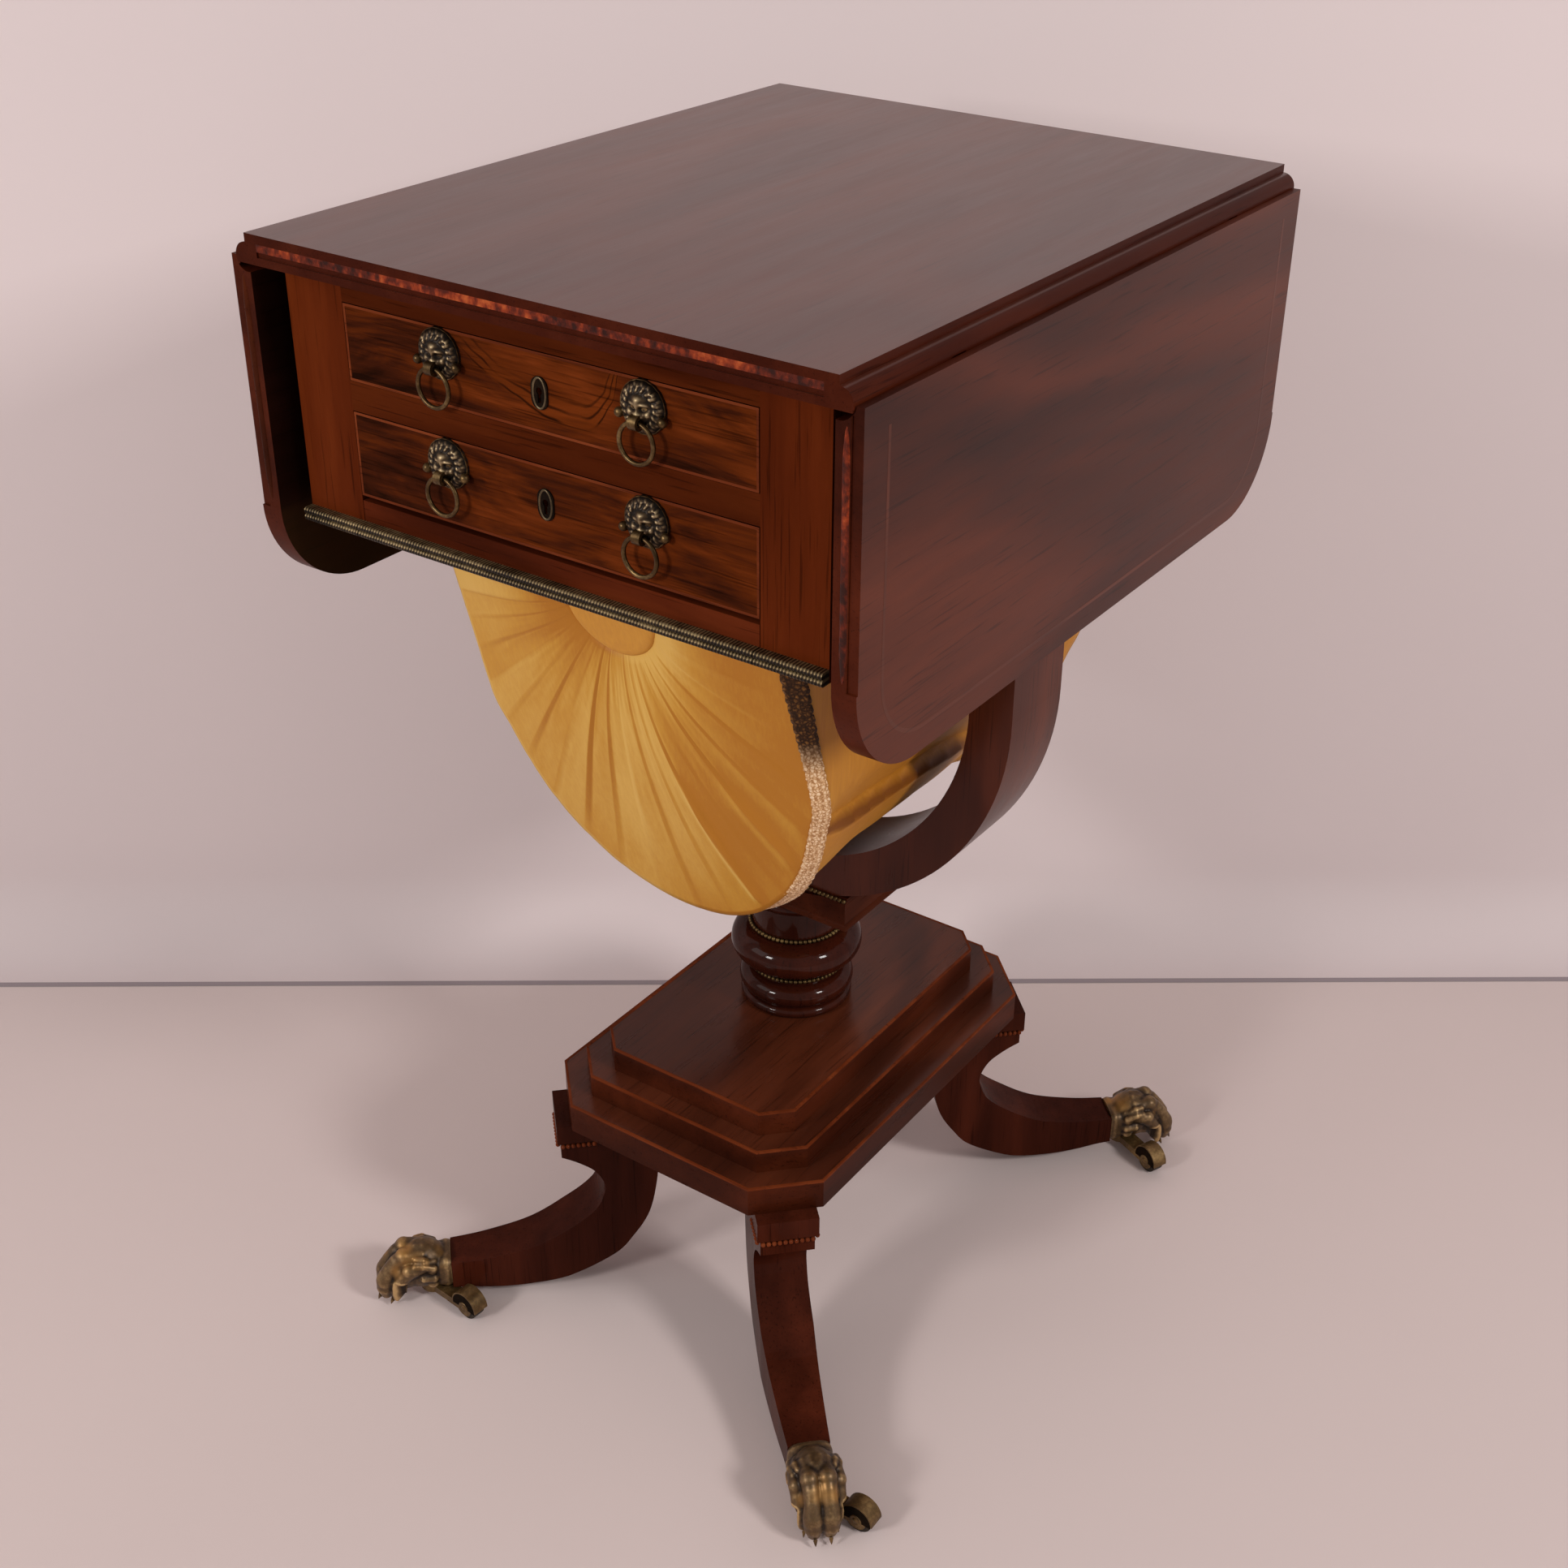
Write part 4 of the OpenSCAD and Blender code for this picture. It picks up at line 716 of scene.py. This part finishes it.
# Braid over the front and back seams; it is scalloped, and twisted in short turns
NB, NC = 961, 9
SCALLOP, TWIST = 6.5, 3.25
line, length = resample(outline, NB)
for end, sign in (("front", -1), ("back", 1)):
    verts, uvs = [], []
    for i, ((x, z), (nx, nz)) in enumerate(zip(line, outwards(line))):
        along = length * i / (NB - 1)
        right = on_right(x) if sign < 0 else 0.0
        low = 1 - right
        y = y_front(z)
        out = 1.6 * smooth(548, 570, z) if x < 0 else 0.0
        o1 = 1.9 * low + (inset(x, z) + 1.2 if sign < 0 else 0.0)
        o2 = 2.2 * right + 1.9 * low
        p = Vector((x - nx * (o1 - out), y - 1.2 * right + 0.9 * low, z - nz * o1))
        q = Vector((x - nx * (o2 - out), y + 6.2 * right + 11.0 * low, z - nz * o2))
        across = q - p
        normal = across.cross(Vector((-nz, 0, nx))).normalized()
        if normal.dot(Vector((nx, -1, nz))) < 0:
            normal = -normal
        scallop = 0.075 * abs(math.sin(math.pi * along / SCALLOP))
        for c in range(NC):
            f = c / (NC - 1)
            twist = 0.16 * math.sin(along * TURN / TWIST + (c % 2) * math.pi)
            h = 0.4 + (0.9 * math.sin(math.pi * f) ** 0.5 + twist) * (0.3 + 0.7 * right)
            v = p + across * (-scallop + (1 + 2 * scallop) * f) + normal * h
            verts.append((v.x, v.y * -sign, v.z))
            uvs.append((along, f))
    braid = bag_piece(f"silk_braid_{end}", verts, grid_faces(NB, NC), "braid", uvs=uvs)
    solidify(braid, SILK_T)

GATHERED = ((0.25, 0.27), "gathered", ["bag_slide_frame", "silk_bag_gusset"])
HUNG = ((0.318, round(out_len * MM, 3)), "hung", ["bag_slide_frame"])
for ob, (flat, held, rests) in ((front, GATHERED), (back, GATHERED), (gusset, HUNG)):
    solidify(ob, SILK_T)
for ob in (gusset, front, back):
    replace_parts(ob, "silk_bag")

# Lion masks over the mask plates of the CAD model. A mound is its middle (x, z), radii and height;
# MIDDLE is brow, nose and lip, PAIRED is lid, socket, eye, cheek and jowl, on both sides
FRONT = -223.7  # y of the drawer fronts
PULL_X = 65
PULLS = {"top": 696.3, "bottom": 638.0}
PLATE_R, PLATE_H = 21.4, 4.8
MIDDLE = ((0, 5.0, 4.0, 2.6, 2.4), (0, 1.0, 1.9, 2.6, 1.6), (0, -2.0, 2.2, 1.1, 1.6))
PAIRED = ((3.6, 2.6, 2.2, 1.0, 1.3), (3.2, 0.4, 2.0, 1.1, -1.5), (3.2, 0.3, 0.8, 0.6, 1.2),
          (5.6, -2.2, 2.0, 2.2, 1.5), (1.9, -3.4, 1.9, 1.5, 1.7))
EARS = ((7.3, 7.2, 1.7, 1.7, 1.6), (7.4, 7.0, 0.8, 0.9, -1.0))
RING_TOP, RING_ROOM = -4.4, 5.35  # below this z, the ring leaves this much room


def mounds(x, z, table):
    return sum(h * math.exp(-(((x - cx) / rx) ** 2 + ((z - cz) / rz) ** 2)) for cx, cz, rx, rz, h in table)


def both_sides(x, z, table):
    return mounds(x, z, table) + mounds(-x, z, table)


def face_height(x, z):
    """Height of the mask over the drawer front."""
    r = math.hypot(x, z)
    ph = math.atan2(x, z)
    plate = math.sqrt(max(0, PLATE_R ** 2 - r * r)) - (PLATE_R - PLATE_H)
    locks = abs(math.sin(ph * 9 + 0.35 * math.sin(r * 1.1)))
    outer_locks = abs(math.cos(ph * 9))
    h = plate + 0.25 + smooth(7.2, 9.0, r) * (0.55 + 1.05 * locks) * (1 - 0.35 * smooth(11.5, 13.4, r))
    h += 0.7 * outer_locks * smooth(9.5, 11.2, r) * (1 - smooth(12.4, 13.8, r))
    face = mounds(x, z, MIDDLE) + both_sides(x, z, PAIRED)
    h += face * (1 - smooth(7.4, 9.2, r)) + both_sides(x, z, EARS)
    if -14 < z < -2.5:
        h = min(h, max(RING_ROOM + 2.2 * max(0.0, z - RING_TOP), plate + 0.2))
    return h


NA, NR = 108, 26
points, rub_and_highlight = [], []
for a in (TURN * i / NA for i in range(NA)):
    edge = 13.35 + 0.45 * abs(math.sin(a * 9))
    for j in range(NR):
        r = edge * (j / (NR - 1)) ** 0.85
        x, z = r * math.sin(a), r * math.cos(a)
        h = face_height(x, z)
        around = sum(face_height(x + 1.3 * math.cos(TURN * k / 6), z + 1.3 * math.sin(TURN * k / 6))
                     for k in range(6)) / 6
        points.append((x, h if j < NR - 1 else 0.05, z))
        # Brighter on high points and on the parts that stand out most, by rubbing and a painted highlight;
        # darker in hollows and towards the rim
        rub_and_highlight.append(0.4 + 0.6 * (h - around) + 0.04 * (points[-1][1] - 4.0) - 0.12 * smooth(11.5, 13.4, r))
for level, zc in PULLS.items():
    for side, sx in (("left", -1), ("right", 1)):
        ob = piece(f"lion_mask_{level}_{side}", [(sx * PULL_X + x, FRONT - h, zc + z) for x, h, z in points],
                   grid_faces(NA, NR, True), f"drawer_{level}_body", "brass", "mask")
        wear_and_painted_light(ob, rub_and_highlight)

# Legs: the corner that each stands at, and how far its castor is turned. A leg runs along the x axis
# of its own frame, in which the paws and the castors are worked out
LEGS = {"front_left": (-1, -1, 130), "front_right": (1, -1, 45), "back_left": (-1, 1, 45),
        "back_right": (1, 1, -69)}
SWIVEL_X = 100  # axis of the castor's swivel
AXLE = (36, 0, 10)  # axle of the wheel, from there


def leg_frame(sx, sy):
    """From the frame of the leg at a corner to that of the table."""
    turn = math.radians(sy * 45 if sx > 0 else 180 - sy * 45)
    return Matrix.Translation((sx * 88.8, sy * 138.1, 0)) @ Matrix.Rotation(turn, 4, "Z")


# Lion paws: lumps of one form, joined by a remesh
BALL_V, BALL_F = ball(11, 18)
BALL_V = np.array(BALL_V)
lumps = []


def blob(c, r, pitch=0.0, square=1.0):
    """A lump with radii r at c; below 1, square makes it boxy."""
    v = np.sign(BALL_V) * np.abs(BALL_V) ** square * np.array(r)
    co, si = math.cos(pitch), math.sin(pitch)
    lumps.append(np.stack([v[:, 0] * co + v[:, 2] * si, v[:, 1], -v[:, 0] * si + v[:, 2] * co], 1)
                 + np.array(c))


def chain(pts):
    """Lumps close together along a path of (x, y, z, radius)."""
    for a, b in zip(pts, pts[1:]):
        n = max(2, int(math.dist(a[:3], b[:3]) / 1.8))
        for i in range(n + 1):
            p = [a[k] + (b[k] - a[k]) * i / n for k in range(4)]
            blob(p[:3], (p[3],) * 3)


# Cuff with its studs
for x, w, h in ((87.6, 14.1, 12.2), (90.4, 14.7, 13.0), (93.6, 14.2, 12.4)):
    blob((x, 0, 24.6), (3.2, w, h), 0.0, 0.55)
blob((97.2, 0, 25.0), (3.4, 13.8, 12.2), 0.0, 0.55)
for y in (-10.6, -5.4, 0, 5.4, 10.6):
    blob((100.4, y, 37.6 - abs(y) * 0.25), (4.2, 2.5, 3.4), 0.4)
for sy in (-1, 1):
    for z in (19, 25, 31):
        blob((100.2, sy * 14.0, z), (3.8, 2.3, 2.9))
# Back of the foot and its fur
blob((107, 0, 27.5), (19, 15.2, 18.5), 0.06)
blob((117, 0, 25), (14, 14.6, 15))
for y in (-12.4, -7.6, -2.6, 2.6, 7.6, 12.4):
    chain([(101.5, y * 0.94, 40.5 - abs(y) * 0.35, 2.4), (106, y * 0.98, 44.6 - abs(y) * 0.45, 2.7),
           (110.5, y * 0.9, 44.6 - abs(y) * 0.4, 2.2)])
# Fur at the side, then the inner and the outer toe, with their knuckles and tips
for sy in (-1, 1):
    chain([(99, sy * 14.4, 33, 2.6), (106, sy * 15.2, 36, 2.6), (111, sy * 14.2, 36, 2.2)])
    chain([(99, sy * 14.6, 24, 2.6), (106, sy * 15.4, 25, 2.4)])
    chain([(110, sy * 5.6, 38.0, 5.6), (117, sy * 5.5, 38.6, 6.2), (123.5, sy * 5.4, 35.0, 5.4),
           (128.6, sy * 5.4, 28.5, 5.4), (132.0, sy * 5.5, 21, 6.6), (132.8, sy * 5.4, 14, 6.2),
           (132.4, sy * 5.0, 8.8, 4.8)])
    blob((118.5, sy * 5.6, 39.2), (6.0, 6.2, 6.0))
    blob((132.6, sy * 5.6, 19.5), (6.3, 6.6, 7.4))
    chain([(106, sy * 12.2, 34, 4.8), (113.5, sy * 13.2, 32, 5.0), (119, sy * 13.0, 27.0, 4.4),
           (122.6, sy * 12.2, 20, 5.2), (124.0, sy * 11.2, 13, 4.9), (125.0, sy * 10.0, 8.4, 4.0)])
    blob((115.6, sy * 13.3, 32.0), (5.0, 5.0, 5.2))
    blob((123.2, sy * 11.9, 17.5), (5.2, 5.2, 6.4))
form = new_object("paw_form", np.concatenate(lumps).tolist(), repeated(BALL_F, len(BALL_V), len(lumps)))
join = form.modifiers.new("join", "REMESH")
join.mode, join.voxel_size = "VOXEL", 0.95
soft = form.modifiers.new("soft", "SMOOTH")
soft.factor, soft.iterations = 0.5, 2
joined = form.evaluated_get(bpy.context.evaluated_depsgraph_get()).to_mesh()
paw_v = [v.co.copy() for v in joined.vertices]
paw_n = [v.normal.copy() for v in joined.vertices]
paw_f = [tuple(p.vertices) for p in joined.polygons]
lump_mesh = form.data
bpy.data.objects.remove(form)
bpy.data.meshes.remove(lump_mesh)

# Trim the paw clear of the leg, the floor and the castor that swings below it
LEG_END, CASTOR_TOP, CASTOR_R = 87.05, 23.2, 23.2
for v in paw_v:
    v.z = max(v.z, 12.7 if v.x < 124.8 else 2.5)
    v.x = max(v.x, LEG_END)
    dx, dy = v.x - SWIVEL_X, v.y
    r, angle = math.hypot(dx, dy), math.degrees(math.atan2(abs(dy), dx))
    if v.z < CASTOR_TOP and r > CASTOR_R and 28.0 < angle < 148:
        k = CASTOR_R / r
        if angle <= 33:
            k += (1 - k) * (33 - angle) / 5.0
        v.x, v.y = SWIVEL_X + dx * k, dy * k

# The paw is brightened by rubbing, and by a painted highlight, where a point stands out between its neighbours
near = [[] for _ in paw_v]
for face in paw_f:
    for a, b in zip(face, face[1:] + face[:1]):
        near[a].append(b)
        near[b].append(a)
curve = np.array([sum((v - paw_v[k]).dot(n) for k in around) / max(1, len(around))
                  for v, n, around in zip(paw_v, paw_n, near)])
for _ in range(3):
    curve = np.array([0.5 * c + 0.5 * np.mean(curve[around]) for c, around in zip(curve, near)])

claw_v = []
CLAW_SEG, CLAW_ROWS = 10, 6
for y, x, z, yaw in ((-4.9, 137.0, 6.6, 0.0), (4.9, 137.0, 6.6, 0.0),
                     (-10.2, 128.6, 6.2, -0.5), (10.2, 128.6, 6.2, 0.5)):
    for q in (TURN * j / CLAW_SEG for j in range(CLAW_SEG)):
        for t in (i / (CLAW_ROWS - 1) for i in range(CLAW_ROWS)):
            c = Vector((x + 1.7 * t, y + yaw * 1.6 * t, z - 2.4 * t - 1.4 * t * t))
            r = 1.7 * (1 - t) ** 0.7 + 0.12
            claw_v.append(c + Vector((0.5 * math.cos(q), math.sin(q) * 0.8, math.cos(q))) * r)
tip = tuple(range(CLAW_ROWS - 1, CLAW_SEG * CLAW_ROWS, CLAW_ROWS))
claw_f = repeated(grid_faces(CLAW_SEG, CLAW_ROWS, True) + [tip], CLAW_SEG * CLAW_ROWS, 4)
for corner, (sx, sy, _) in LEGS.items():
    put = leg_frame(sx, sy)
    ob = piece(f"lion_paw_{corner}", [put @ v for v in paw_v], paw_f, "table_body", "brass", "paw")
    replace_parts(ob, "paw_caps")
    wear_and_painted_light(ob, 0.46 + 2.6 * curve)
    piece(f"claws_{corner}", [put @ Vector((v.x, v.y, max(1.2, v.z))) for v in claw_v], claw_f,
          "table_body", "brass", "castor")

# Dark recess, a ring of painted shade, and hub on both sides of each castor, as lines of (radius, height)
# around the axle
RECESS = ((3.6, 5.6), (3.6, 5.82), (10.5, 5.82), (10.8, 5.6))
HUB = ((4.3, 5.6), (4.1, 6.1), (3.4, 6.3), (2.8, 6.0), (2.0, 6.0), (1.7, 6.5), (0.05, 6.7))
NQ = 49
for corner, (sx, sy, turn) in LEGS.items():
    put = (leg_frame(sx, sy) @ Matrix.Translation((SWIVEL_X, 0, 0))
           @ Matrix.Rotation(math.radians(turn), 4, "Z") @ Matrix.Translation(AXLE))
    recess, hub = [], []
    for side in (-1, 1):
        for i in range(NQ):
            q = math.radians(-8 + 196 * i / (NQ - 1))
            recess += [put @ Vector((r * math.cos(q), side * h, max(r * math.sin(q), -1.0)))
                       for r, h in RECESS]
        for i in range(NQ):
            q = TURN * i / (NQ - 1)
            hub += [put @ Vector((r * math.cos(q), side * h, r * math.sin(q))) for r, h in HUB]
    body = f"castor_fork_{corner}_body"
    piece(f"castor_recess_{corner}", recess, repeated(grid_faces(NQ, len(RECESS)), NQ * len(RECESS), 2),
          body, "brass", "dim", flat=True)
    piece(f"castor_hub_{corner}", hub, repeated(grid_faces(NQ, len(HUB)), NQ * len(HUB), 2),
          body, "brass", "castor")

# Beads: two rings on the column, and a row along each long side of the block
BEAD_R, BEAD_RING, BEADS = 1.5, 31.3, 64
rings = [(BEAD_RING * math.cos(TURN * i / BEADS), BEAD_RING * math.sin(TURN * i / BEADS), z)
         for z in (229.0, 261.0) for i in range(BEADS)]
rows = [(x, sy * 30.6, 310.5) for sy in (-1, 1) for x in np.linspace(-57, 57, 38)]
for name, centres, node in (("column_beads", rings, "column_bead_rings"),
                            ("block_beads", rows, "block_beading")):
    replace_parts(piece(name, *balls(centres, BEAD_R), "table_body", "brass", "bead"), node)


# Stringing let into the plinth and the drawer fronts

def canted(w, d, c):
    """A rectangle with its corners cut off by c."""
    a, b = w / 2, d / 2
    return [(-a + c, -b), (a - c, -b), (a, -b + c), (a, b - c),
            (a - c, b), (-a + c, b), (-a, b - c), (-a, -b + c)]


PLINTH_SECTION = [(0.12, 0.12), (0.12, -1.3), (-0.6, -1.3), (-1.5, -0.6), (-1.5, 0.12)]
for name, w, d, c, z in (("base", 211.6, 310.2, 34.0, 168.8), ("middle", 179.6, 278.2, 22.9, 185.1),
                         ("upper", 149.6, 250.2, 16.6, 202.3)):
    verts, faces = strip(canted(w, d, c), PLINTH_SECTION, lambda x, y, up: (x, y, z + up))
    piece(f"stringing_{name}", verts, faces, "table_body", "banding", "string", flat=True)
DRAWER_SECTION = [(0.0, 0.14), (0.0, -1.2), (-1.3, -1.2), (-1.4, 0.14)]
DRAWER_X = 131.5
for level, z0, h in (("top", 668.4, 41.9), ("bottom", 604.2, 47.8)):
    low, high = z0 + 0.3, z0 + h - 0.5
    poly = [(-DRAWER_X, low), (DRAWER_X, low), (DRAWER_X, high), (-DRAWER_X, high)]
    verts, faces = strip(poly, DRAWER_SECTION, lambda x, z, up: (x, FRONT - up, z))
    piece(f"stringing_drawer_{level}", verts, faces, f"drawer_{level}_body", "banding", "string", flat=True)

# Bead let into the front and back edge of each leaf
BEAD_ROWS, BEAD_SEG = 60, 7
for side, sx in (("right", 1), ("left", -1)):
    verts = []
    for sy in (-1, 1):
        for t in (i / (BEAD_ROWS - 1) for i in range(BEAD_ROWS)):
            swell = min(1.0, 8 * t, 8 * (1 - t)) ** 0.5
            for q in (math.pi * j / (BEAD_SEG - 1) for j in range(BEAD_SEG)):
                verts.append((sx * (188.3 - 2.1 * swell * math.cos(q)),
                              sy * (237.45 + 0.9 * swell * math.sin(q)), 592 + 126 * t))
    piece(f"leaf_bead_{side}", verts, repeated(grid_faces(BEAD_ROWS, BEAD_SEG), BEAD_ROWS * BEAD_SEG, 2),
          f"{side}_leaf_body", "banding", "band" if side == "right" else "plinth_side")

# Faint line let into the outer face of each leaf, along its edges and rounded corners
LINE_Y, LINE_R, LINE_Z = 215.5, 40.0, 587.0
LINE_SECTION = ((-1.1, -0.2), (-1.1, 0.04), (1.1, 0.04), (1.1, -0.2))
path = [(-LINE_Y, 714), (-LINE_Y, 604)]
path += [(-LINE_Y + LINE_R - LINE_R * math.cos(math.radians(q)), LINE_Z - LINE_R * math.sin(math.radians(q)))
         for q in range(0, 91, 6)]
path += [(-y, z) for y, z in reversed(path)]
for side, sx in (("right", 1), ("left", -1)):
    verts = []
    for (y0, z0), (y, z), (y1, z1) in zip(path[:1] + path, path, path[1:] + path[-1:]):
        d = Vector((y1 - y0, z1 - z0)).normalized()
        verts += [(sx * (196.5 + h), y - d.y * o, z + d.x * o) for o, h in LINE_SECTION]
    piece(f"leaf_line_{side}", verts, grid_faces(len(path), len(LINE_SECTION)), f"{side}_leaf_body",
          "banding", "faint_line", flat=True)

# Pellets around the leg heads
PELLET_Z = 130.6
centres = [(10.1, y, PELLET_Z) for y in np.linspace(-16.5, 16.5, 10)]
centres += [(x, sy * 19.9, PELLET_Z) for sy in (-1, 1) for x in np.linspace(-14.5, 6.5, 7)]
pellets, faces = balls(centres, 1.7, 6, 8)
verts = [leg_frame(sx, sy) @ Vector((x - (0.6 if x > 8.5 else 0), y * 0.97, z))
         for sx, sy, _ in LEGS.values() for x, y, z in pellets]
piece("leg_head_pellets", verts, repeated(faces, len(pellets), len(LEGS)), "table_body", "mahogany", "pellet")

# Rims of the escutcheons, whose inside is the dark CAD node; a section of (outwards, up)
RIM_SECTION = ((-1.15, 0.82), (-1.0, 1.0), (-0.5, 1.2), (0.0, 1.0), (0.15, 0.0))
for level, zc in (("top", 689.3), ("bottom", 631.0)):
    verts = [((4.55 + o) * math.cos(q), FRONT - h, zc + (8.4 + o) * math.sin(q))
             for q in (TURN * i / 64 for i in range(64)) for o, h in RIM_SECTION]
    piece(f"escutcheon_rim_{level}", verts, grid_faces(64, len(RIM_SECTION), True),
          f"drawer_{level}_body", "brass", "rim")


# Camera, floor, wall and lights

def aimed(azimuth, elevation, distance):
    """A place seen from the table in a direction given in degrees."""
    a, e = math.radians(azimuth), math.radians(elevation)
    return (distance * math.sin(a) * math.cos(e), -distance * math.cos(a) * math.cos(e),
            distance * math.sin(e))


ROLL = math.radians(1.22)
backwards = Vector(aimed(33.16, 30.13, 1))
right = (-backwards).cross(Vector((0, 0, 1))).normalized()
up = right.cross(-backwards)
axes = (right * math.cos(ROLL) + up * math.sin(ROLL), -right * math.sin(ROLL) + up * math.cos(ROLL), backwards)
camera = bpy.data.objects.new("camera", bpy.data.cameras.new("camera"))
scene.collection.objects.link(camera)
camera.data.lens = 47.08
camera.data.sensor_width = 36.0
camera.data.shift_x = -0.0383
stand = Matrix(axes).transposed().to_4x4()
stand.translation = Vector((0.6512, -0.9423, 1.0286))
camera.matrix_world = stand
scene.camera = camera


def paint(name, color, wall=False):
    """Matt paint; that of the wall is a little darker at its foot, a painted shade, and clear from behind."""
    m = Mat(name)
    cloud = m.noise(m.obj(), 2.2, 2.0, 0.5)
    col = m.tint(m.ramp(cloud, [(0.3, 0.97), (0.7, 1.0)]), color)
    if wall:
        # Painted shade, darker towards the foot of the wall
        col = m.tint(col, m.ramp(m.mul(m.split(m.obj())[2], 8.0), [(0.0, 0.95), (0.8, 1.0)]))
        seen = m.node("MixShader", {0: m.node("NewGeometry", out="Backfacing"), 1: m.shader.outputs[0],
                                    2: m.node("BsdfTransparent")})
        m.put(m.tree.nodes["Material Output"].inputs[0], seen)
    return m.set(Base_Color=col, Roughness=m.madd(cloud, 0.05, 0.88))


def stage_strip(name, line, material):
    """A surface along the foot of the wall; line is its section, as (distance behind it, height)."""
    verts = [end + away * d + Vector((0, 0, h)) for d, h in line
             for end in (foot - along * 4, foot + along * 4)]
    faces = [(2 * i, 2 * i + 1, 2 * i + 3, 2 * i + 2) for i in range(len(line) - 1)]
    new_object(name, verts, faces, material)


along = Vector((0.813, 0.582, 0)).normalized()
away = Vector((-along.y, along.x, 0))
foot = Vector((-0.1722, 0.2307, 0))
COVE, TILT = 0.07, math.radians(6.0)
line = [(0.0, 0.0), (0.006, 0.0)]
line += [(0.006 + COVE * math.sin(q), COVE * (1 - math.cos(q)))
         for q in ((math.pi / 2 - TILT) * i / 16 for i in range(1, 17))]
line.append((line[-1][0] + 4 * math.sin(TILT), line[-1][1] + 4 * math.cos(TILT)))
stage_strip("wall", line, paint("wall_paint", lin(220, 206, 206), wall=True))
stage_strip("floor", [(0, 0), (-6, 0)], paint("floor_paint", lin(212, 196, 193)))
# A thin dark strip of painted shade along the joint of wall and floor
stage_strip("wall_foot", [(-0.003, 0.0004), (0.003, 0.0004)], paint("foot_shade_paint", lin(150, 138, 142)))

WARM = (1.0, 0.97, 0.95)
LIT = Vector((0, 0, 0.4))
for name, place, size, power in (("key_left", aimed(-14, 30, 2.8), 0.45, 25.0),
                                 ("key_right", aimed(84, 38, 2.8), 0.45, 30.0),
                                 ("fill_left", (-1.6, -2.1, 1.75), 1.3, 8.0)):
    light = bpy.data.lights.new(name, "AREA")
    light.shape = "RECTANGLE"
    light.size = light.size_y = size
    light.energy = power
    light.color = WARM
    ob = bpy.data.objects.new(name, light)
    scene.collection.objects.link(ob)
    ob.location = place
    ob.rotation_euler = (LIT - Vector(place)).to_track_quat("-Z", "Y").to_euler()
world = bpy.data.worlds.new("soft_world")
scene.world = world
world.use_nodes = True
world.node_tree.nodes["Background"].inputs[0].default_value = (0.92, 0.88, 0.87, 1)
world.node_tree.nodes["Background"].inputs[1].default_value = 0.4
